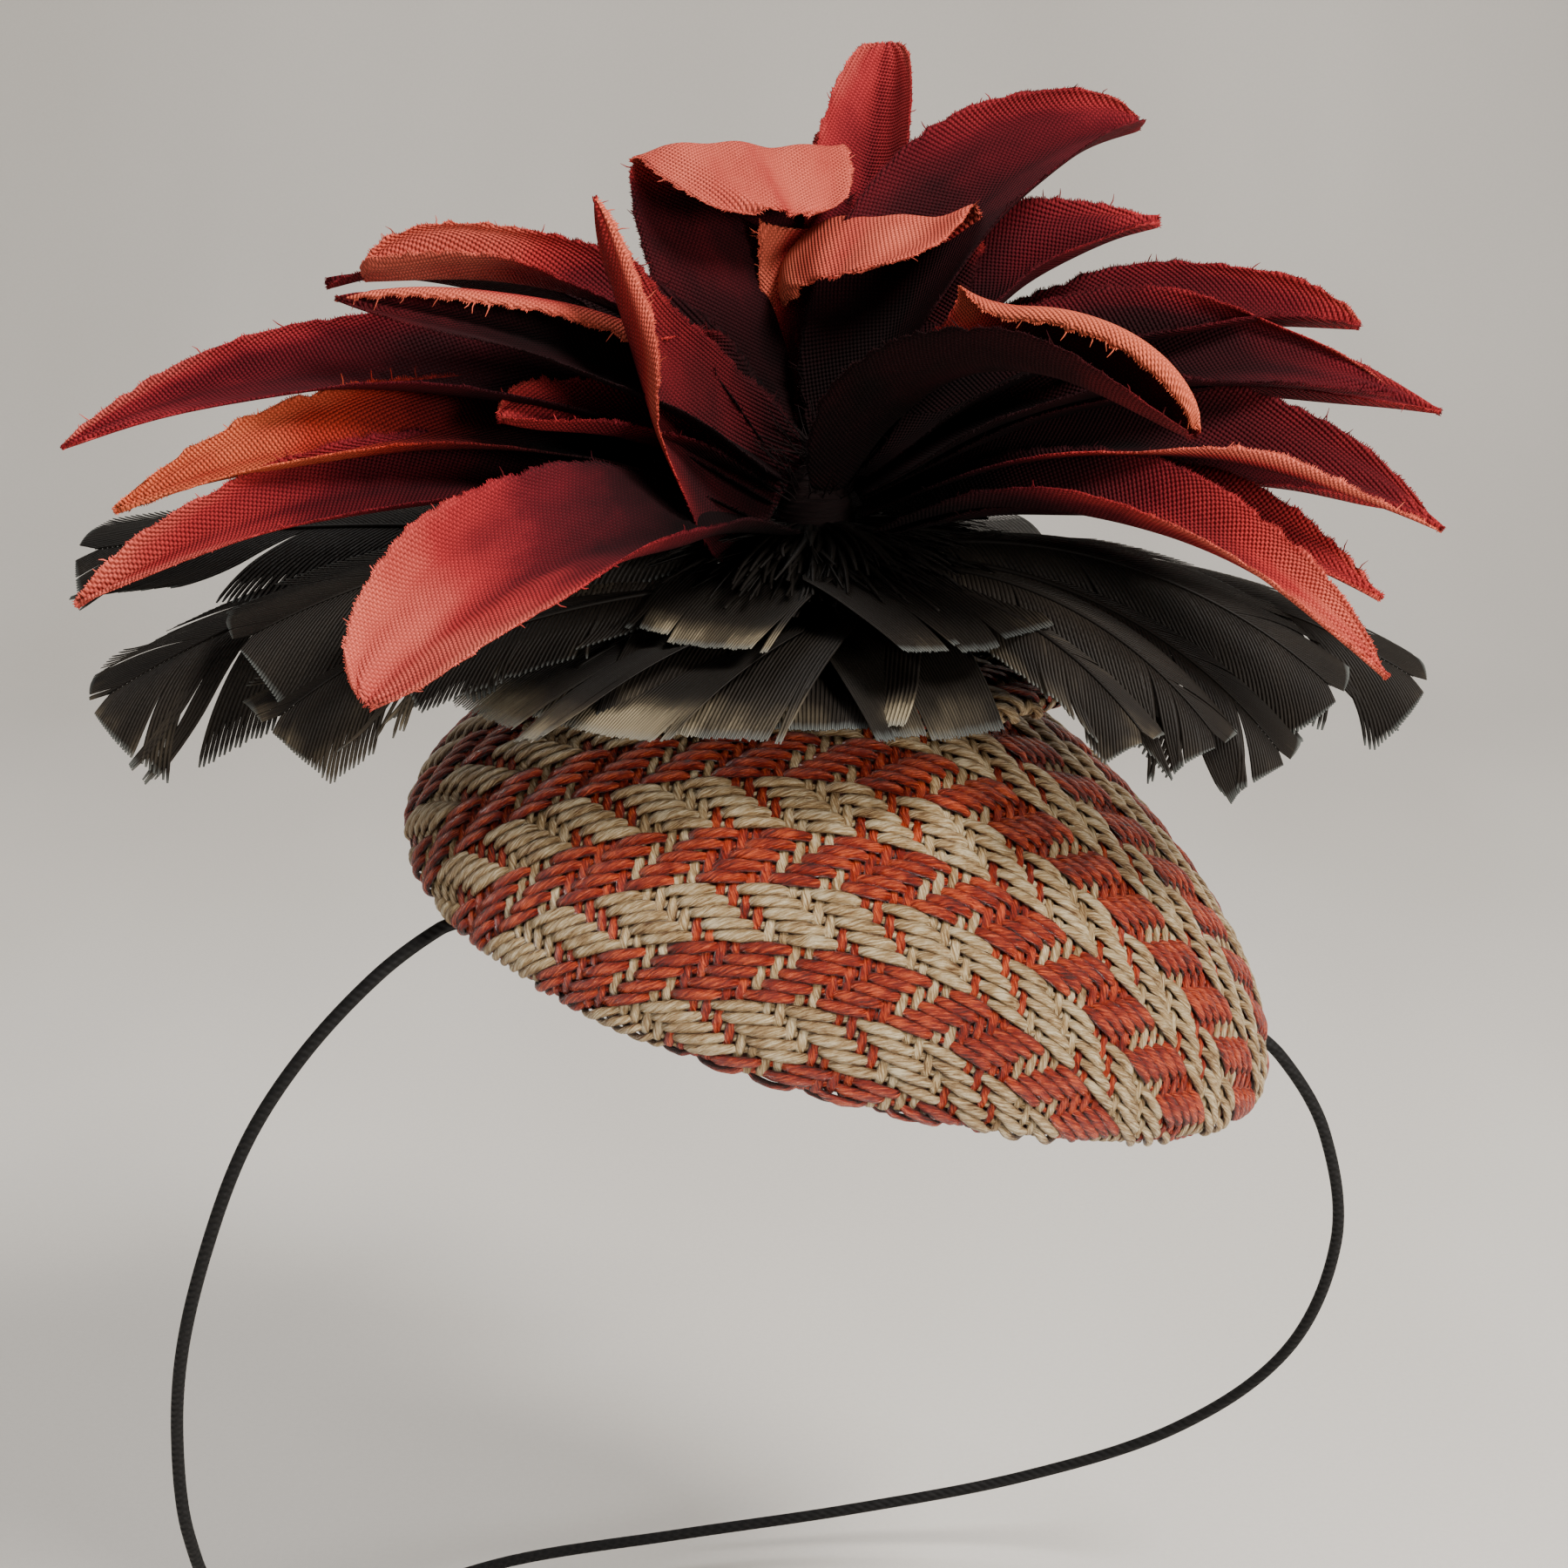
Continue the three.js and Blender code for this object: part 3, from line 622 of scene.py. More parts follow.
def next_crossing(surface, before, below, corner, step, longest_move):
    """Places one pitch from both neighbours on the surface, found by Newton's method."""
    point = before + below - corner
    anchors = surface(*before.T), surface(*below.T)
    for _ in range(8):
        here = surface(*point.T)
        slope_p = (surface(point[:, 0] + step, point[:, 1]) - here) / step
        slope_q = (surface(point[:, 0], point[:, 1] + step) - here) / step
        misses = []
        for anchor, pitch in zip(anchors, (WARP_PITCH, PICK_PITCH)):
            off = here - anchor
            slopes = 2 * (off * slope_p).sum(1), 2 * (off * slope_q).sum(1)
            misses.append(((off ** 2).sum(1) - pitch ** 2, *slopes))
        (miss_a, ap, aq), (miss_b, bp, bq) = misses
        area = ap * bq - aq * bp
        area = np.where(np.abs(area) < 1e-6, 1e-6, area)
        move = np.stack([bq * miss_a - aq * miss_b, ap * miss_b - bp * miss_a], -1) / area[:, None]
        longest = np.abs(move).max(1, keepdims=True)
        point = point - move * np.minimum(1, longest_move / np.maximum(longest, 1e-9))
    return point


def woven_net(surface, warps, picks, lean, limit):
    """Where each warp crosses each pick when cloth is laid on a curved surface.

    The yarns keep their pitch along each other and the cloth shears to follow the surface, so
    each crossing is found from its two neighbours. Crossings past the limit are left out.
    """
    net = np.full((2 * warps + 1, 2 * picks + 1, 2), np.nan)
    reach = limit * 1.05
    for sign in (1, -1):
        along = sign * np.array([1.0, 0.0])
        places = axis_places(surface, along, WARP_PITCH, warps, reach)
        net[warps + sign * np.arange(warps + 1), picks] = places
        along = sign * np.array([-math.sin(lean), math.cos(lean)])
        places = axis_places(surface, along, PICK_PITCH, picks, reach)
        net[warps, picks + sign * np.arange(picks + 1)] = places
    for side in (1, -1):
        for end in (1, -1):
            for front in range(2, warps + picks + 1):
                i = np.arange(max(1, front - picks), min(warps, front - 1) + 1)
                j = front - i
                before = net[warps + side * (i - 1), picks + end * j]
                below = net[warps + side * i, picks + end * (j - 1)]
                corner = net[warps + side * (i - 1), picks + end * (j - 1)]
                far = np.maximum(np.hypot(*before.T), np.hypot(*below.T))
                known = np.isfinite(corner[:, 0]) & (far < limit)
                if known.any():
                    neighbours = before[known], below[known], corner[known]
                    found = next_crossing(surface, *neighbours, limit * 1e-5, 0.03 * limit)
                    net[warps + side * i[known], picks + end * j[known]] = found
    return net


def weft_is_over(warp, pick):
    """Three over and two under; the diagonal runs right in cream bands and left in rust ones."""
    row = pick % GROUP
    start = np.where((pick // GROUP) % 2 == 0, 3 + row, 4 - row)
    return (warp - start) % GROUP < FLOAT


def band_colour(number, phase):
    return "cream" if ((number - phase) // GROUP) % 2 == 0 else "rust"


def through(points, places):
    """A smooth curve through evenly numbered points, sampled at fractional places."""
    index = np.clip(np.floor(places).astype(int), 0, len(points) - 2)
    t = (places - index)[:, None]
    p0, p1, p2, p3 = (points[np.clip(index + k, 0, len(points) - 1)] for k in (-1, 0, 1, 2))
    square = (2 * p0 - 5 * p1 + 4 * p2 - p3) * t ** 2
    cube = (3 * p1 - p0 - 3 * p2 + p3) * t ** 3
    return 0.5 * (2 * p1 + (p2 - p0) * t + square + cube)


def eased(values, places):
    """Values at whole numbers, joined by smooth steps."""
    index = np.clip(np.floor(places).astype(int), 0, len(values) - 2)
    t = smooth_step(0, 1, places - index)
    return values[index] * (1 - t) + values[index + 1] * t


def scatter(count, size):
    return 1 + size * random.standard_normal(count)


def lay_yarn(shape, surface, run, flanks, over, kind, step, samples, count, turn, shift):
    """One yarn along a run of crossings: high over the other yarns, low and thinner under them."""
    places = np.arange(0, len(run) - 1 + 1e-6, 1 / samples)
    middle = through(run, places)
    points = surface(*middle.T)
    normals = surface_normals(surface, middle, step)
    side = unit(np.cross(normals, unit(np.gradient(points, axis=0))))
    both = np.isfinite(flanks).all((0, 2))
    gap = np.subtract(*(surface(*np.where(both[:, None], flank, run).T) for flank in flanks))
    across = np.abs((gap * side[::samples][: len(run)]).sum(1)) / 2
    pitch = kind["pitch"]
    room = np.where(both, np.clip(across, 0.55 * pitch, 1.15 * pitch), pitch)
    inner = over & np.roll(over, 1) & np.roll(over, -1)
    level = np.where(over, kind["over"] * np.where(inner, 1.25, 0.9), kind["under"]) * scatter(len(run), 0.08)
    swell = np.where(inner, 1.06, np.where(over, 0.94, 0.7)) * scatter(len(run), 0.05)
    level, swell, room = (eased(values, places) for values in (level, swell, room))
    sway = eased(0.05 * random.standard_normal(len(run)), places)
    centre = points + normals * level[:, None] + side * sway[:, None]
    up = unit(np.cross(unit(np.gradient(centre, axis=0)), side))
    half = kind["fill"] * 0.5 * room * swell
    tall = kind["thick"] * (0.75 + 0.25 * swell)
    length = running_sum(np.linalg.norm(np.diff(centre, axis=0), axis=1))
    turns = full_turn(count)
    yarn = np.stack(np.broadcast_arrays(length[:, None], half[:, None] * turns, random.uniform(0, 60)), -1)
    lightness = eased(0.5 + 0.13 * random.standard_normal(len(run)), places)
    # shade: random lightness of each stretch of yarn, plus painted shade on the yarn's flanks and underside,
    # away from its top.
    shade = lightness[:, None] + 0.75 * (np.sin(turns) - 0.8)
    centre, side, up = centre @ turn.T + shift, side @ turn.T, up @ turn.T
    tube(shape, centre, side, up, half, tall, count, yarn=yarn, shade=shade)


def lay_yarns(surface, net, limit, along_warp, samples, count, turn, shift):
    """Lays every warp, or every pick, of a net over and under the others, by colour."""
    shapes = {"cream": Shape(), "rust": Shape()}
    lines = net if along_warp else net.transpose(1, 0, 2)
    kind, phase = (WARP, WARP_PHASE) if along_warp else (WEFT, PICK_PHASE)
    middle_line, middle_place = lines.shape[0] // 2, lines.shape[1] // 2
    for line in range(lines.shape[0]):
        near = np.hypot(*np.nan_to_num(lines[line], nan=np.inf).T) < limit
        inside = np.flatnonzero(near)
        if len(inside) < 6:
            continue
        inside = np.arange(inside[0], inside[-1] + 1)
        run = lines[line, inside]
        if not np.isfinite(run).all():
            continue
        number, others = line - middle_line, inside - middle_place
        if along_warp:
            over = ~weft_is_over(number - WARP_PHASE, -others - PICK_PHASE)
            colour = band_colour(number, phase)
        else:
            over = weft_is_over(others - WARP_PHASE, -number - PICK_PHASE)
            colour = band_colour(-number, phase)
        last = lines.shape[0] - 1
        flanks = lines[[min(line + 1, last), max(line - 1, 0)]][:, inside]
        lay_yarn(shapes[colour], surface, run, flanks, over, kind, limit * 1e-4, samples, count, turn, shift)
    return shapes


def weave_over(prefix, surface, net, limit, turn, shift, samples, count):
    """All the yarns of one covered shape, as four pieces: two colours each of weft and warp."""
    weft = lay_yarns(surface, net, limit, False, samples, count, turn, shift)
    warp = lay_yarns(surface, net, limit, True, samples - 1, count - 2, turn, shift)
    pieces = []
    for kind, shapes in (("weft", weft), ("warp", warp)):
        for colour, material in (("cream", CREAM_YARN), ("rust", RUST_YARN)):
            pieces.append(shapes[colour].piece(f"{prefix}_{kind}_{colour}", material, "woven_fabric"))
    return pieces


def ground_sheet(name, surface, limit, depths, rings, sides, turn, shift, node):
    """The thin cloth behind the yarns, closed all round, so that no gap shows through the cover."""
    flat = np.stack(ring_places(limit, rings, sides), -1)
    outside = surface(*flat.T)
    normals = surface_normals(surface, flat, limit * 1e-4)
    top = surface(np.zeros(1), np.zeros(1))[0]
    layers = [(outside - normals * depth) @ turn.T + shift for depth in depths]
    middles = [(top - UP * depth) @ turn.T + shift for depth in depths]
    shape = closed_cloth(layers, middles, rings, sides)
    return shape.piece(name, GROUND_CLOTH, "woven_fabric", [node])


cover_net = woven_net(dome_surface, 56, 58, WARP_LEAN, HEM_PLACE + 0.03)
cover_yarns = weave_over("cover", dome_surface, cover_net, HEM_PLACE, BASE_TURN, NO_SHIFT, 5, 10)
cover_ground = ground_sheet(
    "cover_ground", dome_surface, HEM_PLACE, (0.82, 1.02), 60, 120, BASE_TURN, NO_SHIFT, "woven_cover",
)

disc_limit = DISC_RADIUS + DISC_HEM
disc_net = woven_net(disc_surface, 26, 32, 0.0, disc_limit + 1.0)
disc_yarns = weave_over("disc", disc_surface, disc_net, disc_limit, DISC_TURN, DISC_SHIFT, 4, 8)
disc_ground = ground_sheet(
    "disc_ground", disc_surface, disc_limit, (0.62, 0.74), 40, 90, DISC_TURN, DISC_SHIFT, "trim_disc_cover",
)

# ---------------------------------------------------------------- inside the base

LINING_EDGE = 0.93  # the lining's edge as a share of the way from the top to the rim
LINING_DEPTHS = (3.8, 4.15)


def lining_piece():
    """A satin lining with soft puckers where it is caught down inside the rim."""
    rings, sides = 46, 180
    p, q = ring_places(LINING_EDGE, rings, sides)
    outside = dome_surface(p, q)
    normals = surface_normals(dome_surface, np.stack([p, q], -1), 1e-4)
    angle = np.arctan2(q, p)
    puckers = 0.16 * np.sin(46 * angle + 3 * np.sin(5 * angle))
    puckers = puckers * smooth_step(0.6, LINING_EDGE, np.hypot(p, q))
    layers = [(outside - normals * (depth + puckers)[:, None]) @ BASE_TURN.T for depth in LINING_DEPTHS]
    middles = [(DOME_HEIGHT - depth) * UP @ BASE_TURN.T for depth in LINING_DEPTHS]
    shape = closed_cloth(layers, middles, rings, sides)
    return shape.piece("lining_satin", LINING_SATIN, "lining_fabric", ["lining"])


lining = lining_piece()

for node, material in (("buckram_shell", BUCKRAM), ("trim_disc_core", BUCKRAM), ("edge_wire", WRAPPED_WIRE)):
    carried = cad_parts[node]
    carried.data.materials.clear()
    carried.data.materials.append(material)


def felt_disc(name, radius, bottom, top, centre, node, bulge):
    """A soft-edged felt shape that follows the disc's dish."""
    rings, sides = 16, 96
    middle, half = (top + bottom) / 2, (top - bottom) / 2
    profile = [(radius * t, top + bulge * (1 - t * t)) for t in np.linspace(0, 1, rings)]
    for turn in np.linspace(0, np.pi, 7)[1:-1]:
        profile.append((radius + half * 0.4 * math.sin(turn), middle + half * math.cos(turn)))
    profile += [(radius * t, bottom) for t in np.linspace(1, 0, rings)]
    angle = full_turn(sides)
    rows = []
    for r, z in profile:
        wobble = 1 + 0.006 * np.sin(9 * angle + 2 * r) * (r > 0.9 * radius)
        x = centre[0] + r * wobble * np.cos(angle)
        y = centre[1] + r * wobble * np.sin(angle)
        dish = -DISC_DROOP * (np.hypot(x, y) / DISC_RADIUS) ** 2
        rough = 0.05 * random.standard_normal(sides) * (r > 0)
        rows.append(np.stack([x, y, z + dish + rough], -1))
    shape = Shape()
    shape.add(np.concatenate(rows) @ DISC_TURN.T + DISC_SHIFT, grid_faces(len(profile), sides, ring=True))
    return shape.piece(name, BLACK_FELT, "felt", [node])


backing = felt_disc("disc_backing_felt", 27.0, -2.1, -1.1, (0.0, 0.0), "trim_disc_backing", 0.0)
pad_centre = (FLOWER_X - DISC_CENTRE[0], FLOWER_Y - DISC_CENTRE[1])
pad = felt_disc("feather_pad_felt", 8.0, 2.75, 4.95, pad_centre, "feather_pad", 0.1)

# ---------------------------------------------------------------- petals

# How each petal differs from a plain curved blade. tip: where the tip starts to curl and by how
# many degrees; near and far: how far the edge towards the viewer and the other one roll up, in
# degrees, and from which share of the length; lip: how far out the roll starts; glow: how much
# lighter the near and the far edge are coloured, partly the cloth's paler reverse and partly
# painted light where the rolled edges catch the light from above; crease: the fold along the
# midrib, in degrees; rise and fall: how the width grows from the foot and shrinks to the tip;
# dye: where the dark foot ends and where the coral begins, the dark foot being partly
# dyed and partly painted shade deep in the flower; lift: how much lighter the colour is past the
# foot; warm: pink 0 to orange 1; wave: ripple height.
PLAIN = dict(
    tip=(0.8, 0), near=(12, 0.3), far=(12, 0.3), lip=0.5, glow=(0.1, 0.1), crease=14, rise=0.65, fall=0.85,
    dye=(0.3, 0.85), lift=0.08, warm=0.35, wave=0.6,
)
SHAPING = {
    "petal_left_1": dict(dye=(0.3, 1.25), warm=0.02, far=(50, 0.4), glow=(0.1, 0.3)),
    "petal_left_2": dict(dye=(0.34, 0.75), warm=0.9, far=(40, 0.4)),
    "petal_left_3": dict(dye=(0.28, 0.95), warm=0.15, far=(40, 0.4)),
    "petal_left_4": dict(dye=(0.22, 0.85), warm=0.15, crease=12, fall=0.5, wave=1.1),
    "petal_left_5": dict(
        dye=(0.6, 1.5), far=(170, 0.15), lip=0.25, glow=(0.0, 0.85), rise=0.4, fall=0.8, warm=0.4,
    ),
    "petal_left_6": dict(dye=(0.35, 0.75), far=(50, 0.3), fall=0.4, warm=0.25, wave=1.0, crease=24),
    "petal_left_7": dict(dye=(0.5, 1.5), warm=0.2),
    "petal_left_8": dict(dye=(0.2, 1.3), warm=0.25, fall=0.4),
    "petal_centre_1": dict(
        dye=(-0.3, 1.5), near=(70, 0.45), far=(35, 0.3), lip=0.3, glow=(0.4, 0.0), crease=8,
        rise=0.35, fall=0.8, warm=0.4,
    ),
    "petal_centre_2": dict(
        dye=(0.61, 0.72), lift=0.32, tip=(0.67, 142), near=(0, 0.5), far=(0, 0.5), glow=(0.0, 0.0),
        rise=0.5, fall=0.32, warm=0.3, crease=0, wave=1.0,
    ),
    "petal_centre_3": dict(
        dye=(0.58, 0.70), lift=0.3, tip=(0.64, 142), near=(0, 0.5), far=(60, 0.2), lip=0.5, glow=(0.0, 0.7),
        rise=0.5, fall=0.22, warm=0.4, crease=0, wave=1.0,
    ),
    "petal_centre_4": dict(dye=(-0.1, 1.2), warm=0.1, fall=0.4, crease=20),
    "petal_centre_5": dict(dye=(-0.2, 1.2), warm=0.05),
    "petal_right_1": dict(dye=(0.25, 1.5), warm=0.1, fall=0.6, far=(70, 0.5), glow=(0.0, 0.2)),
    "petal_right_2": dict(dye=(0.25, 1.4), warm=0.15, wave=0.8),
    "petal_right_3": dict(dye=(0.35, 1.35), warm=0.2, fall=0.7, far=(60, 0.5), glow=(0.0, 0.2)),
    "petal_right_4": dict(dye=(0.5, 1.4), warm=0.2, far=(100, 0.5), lip=0.6, glow=(0.0, 0.35)),
    "petal_right_5": dict(dye=(0.5, 1.3), warm=0.3),
    "petal_right_6": dict(
        dye=(0.6, 1.5), far=(158, 0.3), lip=0.12, glow=(0.0, 0.9), warm=0.6, rise=0.6, fall=0.45,
    ),
    "petal_right_7": dict(dye=(0.4, 1.3), warm=0.3, near=(80, 0.45), glow=(0.7, 0.1)),
    "petal_right_8": dict(dye=(0.45, 1.15), warm=0.2),
    "petal_right_9": dict(dye=(0.2, 0.85), warm=0.3, crease=26, glow=(0.25, 0.0)),
    "petal_right_10": dict(dye=(0.3, 1.1), warm=0.25),
}
PETAL_ROWS, PETAL_COLUMNS = 66, 34
PETAL_HALF = 0.13


def petal_half_width(s, rise, fall):
    claw = 0.05
    widest = rise / (rise + fall)
    peak = (widest + claw) ** rise * (1 - widest) ** fall
    return (s + claw) ** rise * np.maximum(1 - s, 0) ** fall / peak


def integrate_from_middle(slopes, x):
    steps = (slopes[:, 1:] + slopes[:, :-1]) / 2 * np.diff(x)
    total = running_sum(steps.T).T
    middle = np.argmin(np.abs(x))
    return total - total[:, [middle]]


def bent_blade(azimuth, foot_radius, height, length, pitch, roll, s):
    """A petal's or a feather's midrib, and the directions along, across and up from it."""
    around, pitch, roll = math.radians(azimuth), np.radians(pitch), np.radians(roll)
    outward = np.array([math.cos(around), math.sin(around), 0.0])
    level = np.array([-math.sin(around), math.cos(around), 0.0])
    along = np.cos(pitch)[:, None] * outward + np.sin(pitch)[:, None] * UP
    across = level * np.cos(roll)[:, None] + np.cross(along, level) * np.sin(roll)[:, None]
    steps = (along[1:] + along[:-1]) / 2 * (np.diff(s) * length)[:, None]
    midrib = FLOWER + foot_radius * outward + height * UP + running_sum(steps)
    return midrib, along, across, np.cross(along, across)


def petal_surface(row, look, s, x, phase):
    """Points of a petal's middle surface: s runs from foot to tip and x from edge to edge."""
    azimuth, foot_radius, height, length, width, pitch_foot, pitch_tip, roll_foot, roll_tip, cup = row[1:]
    curl_from, curl = look["tip"]
    bend = smooth_step(curl_from, min(curl_from + 0.11, 1.0), s)
    pitch = pitch_foot + (pitch_tip - pitch_foot) * s + curl * bend
    roll = roll_foot + (roll_tip - roll_foot) * s
    midrib, _, across, up = bent_blade(azimuth, foot_radius, height, length, pitch, roll, s)
    reach = width / 2 * petal_half_width(s, look["rise"], look["fall"])
    near_side = 1 if math.cos(math.radians(azimuth)) < 0 else -1
    s = s[:, None]
    lean = cup * x + math.radians(look["crease"]) * np.tanh(x / 0.08) * smooth_step(0.02, 0.3, s)
    for sign, key in ((near_side, "near"), (-near_side, "far")):
        angle, start = look[key]
        share = np.clip((sign * x - look["lip"]) / (1 - look["lip"]), 0, 1)
        lean = lean + sign * math.radians(angle) * share * smooth_step(start, start + 0.3, s)
    ripple = np.sin(7.5 * s + phase[0]) * np.sin(3.4 * x + phase[1])
    ripple = ripple + 0.35 * np.sin(19 * s + 2 * x + phase[2]) * np.abs(x)
    ripple = ripple + 0.3 * np.sin(5.5 * x + 6 * s * x + phase[0]) * smooth_step(0.3, 0.7, s)
    ripple = look["wave"] * ripple * smooth_step(0.1, 0.4, s)
    lateral = integrate_from_middle(np.cos(lean), x) * reach[:, None]
    raised = integrate_from_middle(np.sin(lean), x) * reach[:, None] + ripple
    points = midrib[:, None] + lateral[..., None] * across[:, None] + raised[..., None] * up[:, None]
    return points, reach, near_side


def petal_piece(row):
    name, length, width = row[0], row[4], row[5]
    look = {**PLAIN, **SHAPING.get(name, {})}
    s = np.linspace(0, 0.995, PETAL_ROWS)
    x = np.linspace(-1, 1, PETAL_COLUMNS + 1)
    points, reach, near_side = petal_surface(row, look, s, x, random.uniform(0, 6.28, 3))
    rough = random.standard_normal((PETAL_ROWS, 2)) * 0.2
    forward = unit(np.gradient(points, axis=0))
    outward = unit(np.gradient(points, axis=1))
    points[:, 0] += outward[:, 0] * rough[:, [0]]
    points[:, -1] += outward[:, -1] * rough[:, [1]]
    normals = unit(np.cross(forward, outward))
    turn = random.uniform(-0.6, 0.6)
    lateral = x[None, :] * reach[:, None]
    run = s[:, None] * length + 0 * lateral
    seed = random.uniform(0, 90)
    with_grain = run * math.cos(turn) - lateral * math.sin(turn)
    cross_grain = run * math.sin(turn) + lateral * math.cos(turn)
    flat = np.stack([with_grain, cross_grain, 0 * run + seed], -1)
    # Dark foot to coral tip: partly dyed so, partly painted shade deep in the flower.
    start, full = look["dye"]
    dye = np.clip((s[:, None] - start) / (full - start), 0, 1) * 0.9
    dye = dye + look["lift"] * (1 - dye) * smooth_step(0.1, 0.5, s)[:, None]
    # glow lightens the edges: partly the cloth's paler reverse, partly painted light where the rolled edges
    # catch the light from above.
    for sign, glow in ((near_side, look["glow"][0]), (-near_side, look["glow"][1])):
        edge = smooth_step(look["lip"], 0.95, sign * x)
        dye = dye + glow * edge * smooth_step(0.1, 0.45, s)[:, None]
    dye = np.clip(dye - 0.08 * np.exp(-(x / 0.12) ** 2)[None, :], 0, 1.02)
    warm = np.clip(look["warm"] + 0.6 * (dye - 0.6), 0, 1)
    shape = Shape()
    rows, columns = points.shape[:2]
    count = rows * columns
    faces = grid_faces(rows, columns)
    looks = dict(flat=flat.reshape(-1, 3), dye=dye.ravel(), warm=warm.ravel())
    for side in (1, -1):
        shape.add(points + side * PETAL_HALF * normals, faces[:, ::side], **looks)
    outline = np.concatenate([
        np.arange(columns), np.arange(1, rows) * columns + columns - 1,
        (rows - 1) * columns + np.arange(columns - 2, -1, -1), np.arange(rows - 2, 0, -1) * columns,
    ])
    after = np.roll(outline, -1)
    shape.faces += np.stack([outline, outline + count, after + count, after], -1).tolist()
    made = shape.piece(f"{name}_cloth", PETAL_CLOTH, "petal_fabric", [name])
    frays = Shape()
    add_frays(frays, points, forward, outward, flat, dye, warm)
    threads = frays.piece(f"{name}_frays", PETAL_CLOTH, "petal_fabric")


def add_frays(shape, points, forward, outward, flat, dye, warm):
    """Loose thread ends along the raw edges, longest near the tip."""
    rows, columns = points.shape[:2]
    starts, ends, rims = [], [], []
    for column, sign in ((0, -1), (columns - 1, 1)):
        for row in np.arange(3, rows - 1, 0.2):
            low = int(row)
            share = row - low
            a = points[low, column] * (1 - share) + points[min(low + 1, rows - 1), column] * share
            scattered = 0.3 * random.standard_normal(3)
            direction = unit(sign * outward[low, column] + scattered + 0.25 * forward[low, column])
            starts.append(a - 0.1 * direction)
            long_one = random.random() < 0.03
            ends.append(a + direction * (random.uniform(0.9, 2.0) if long_one else random.uniform(0.15, 0.5)))
            rims.append(low * columns + column)
    for column in np.arange(0, columns - 1, 0.5):
        low = int(column)
        a = points[rows - 1, low] * (1 - column + low) + points[rows - 1, low + 1] * (column - low)
        direction = unit(forward[rows - 1, low] + 0.35 * random.standard_normal(3))
        starts.append(a - 0.1 * direction)
        ends.append(a + direction * random.uniform(0.2, 0.8))
        rims.append((rows - 1) * columns + low)
    starts, ends, rims = np.array(starts), np.array(ends), np.array(rims)
    axis = unit(ends - starts)
    side = unit(np.cross(axis, random.standard_normal(axis.shape)))
    other = np.cross(axis, side)
    droop = 0.1 * np.linalg.norm(ends - starts, axis=1, keepdims=True)
    middle = (starts + ends) / 2 + droop * unit(random.standard_normal(axis.shape))
    rings = []
    for centre, radius in ((starts, 0.12), (middle, 0.1), (ends, 0.04)):
        for turn in full_turn(3):
            rings.append(centre + radius * (math.cos(turn) * side + math.sin(turn) * other))
    thread = np.stack(rings, 1)
    template = np.array([[0, 1, 4, 3], [1, 2, 5, 4], [2, 0, 3, 5], [3, 4, 7, 6], [4, 5, 8, 7], [5, 3, 6, 8]])
    faces = (np.arange(len(starts))[:, None, None] * 9 + template[None]).reshape(-1, 4)
    shape.add(
        thread, faces, flat=np.repeat(flat.reshape(-1, 3)[rims], 9, 0),
        dye=np.repeat(dye.ravel()[rims], 9), warm=np.repeat(warm.ravel()[rims], 9),
    )


for petal in PETALS:
    petal_piece(petal)

# ---------------------------------------------------------------- feathers

BARBS = 96  # barbs of a fan, side by side
BARB_STEPS = 22
FAN_SPREAD = 1.25  # barbs spread a little past the width that the bare fan has
SPLITS = {"feather_left_2": 17, "feather_left_3": 15, "feather_right_2": 13}  # seams, where there are many
VANE_STEP = 0.75  # distance along the quill between barbs of a vane
VANE_ANGLE = (math.radians(52), math.radians(30))  # barbs from the quill, near its foot and at its cut end
VANES = {
    # name: droop of the side that faces the viewer and of the other side, in degrees, and the
    # reach of the two sides as shares of the feather's width
    "feather_left_1": (20, 20, 0.5, 0.5),
    "feather_left_2": (78, 20, 0.55, 0.5),
    "feather_left_3": (84, 20, 0.45, 0.5),
    "feather_left_4": (70, 20, 0.3, 0.5),
    "feather_left_5": (55, 20, 0.5, 0.5),
    "feather_right_1": (60, 20, 0.45, 0.5),
    "feather_right_2": (80, 25, 0.5, 0.6),
    "feather_right_3": (76, 25, 0.55, 0.6),
    "feather_right_4": (66, 25, 0.5, 0.6),
    "feather_right_5": (60, 25, 0.5, 0.6),
}
BRONZE = {
    # name: how much painted bronze sheen the feather's cut end shows
    "feather_left_2": 0.6, "feather_left_3": 0.7, "feather_front_1": 0.8, "feather_front_2": 1.0,
    "feather_front_3": 1.0, "feather_front_4": 1.0, "feather_front_5": 0.9, "feather_front_6": 0.8,
    "feather_front_7": 0.35, "feather_right_1": 0.7, "feather_right_2": 0.5,
}


def feather_half_width(s):
    return np.clip(s / 0.3, 0.06, 1) ** 0.6 * (1 - 0.12 * s)


def feather_frames(row, s):
    azimuth, height, length, _, pitch_foot, pitch_cut, roll_foot, roll_cut = row[1:]
    pitch = pitch_foot + (pitch_cut - pitch_foot) * s
    roll = roll_foot + (roll_cut - roll_foot) * s
    return bent_blade(azimuth, FEATHER_FOOT_RADIUS, height, length, pitch, roll, s)


def barb(shape, line, side, rise, half, flat, cut, bronze):
    """One barb: a flat ribbon with a slight ridge along its middle."""
    beside = half[:, None] * side
    ring = np.stack([line - beside, line + 0.07 * rise, line + beside, line - 0.05 * rise], 1)
    steps = len(line)
    shape.add(
        ring, grid_faces(steps, 4, ring=True), flat=np.repeat(flat[:, None], 4, 1).reshape(-1, 3),
        cut=np.repeat(cut, 4), bronze=np.repeat(bronze, 4),
    )


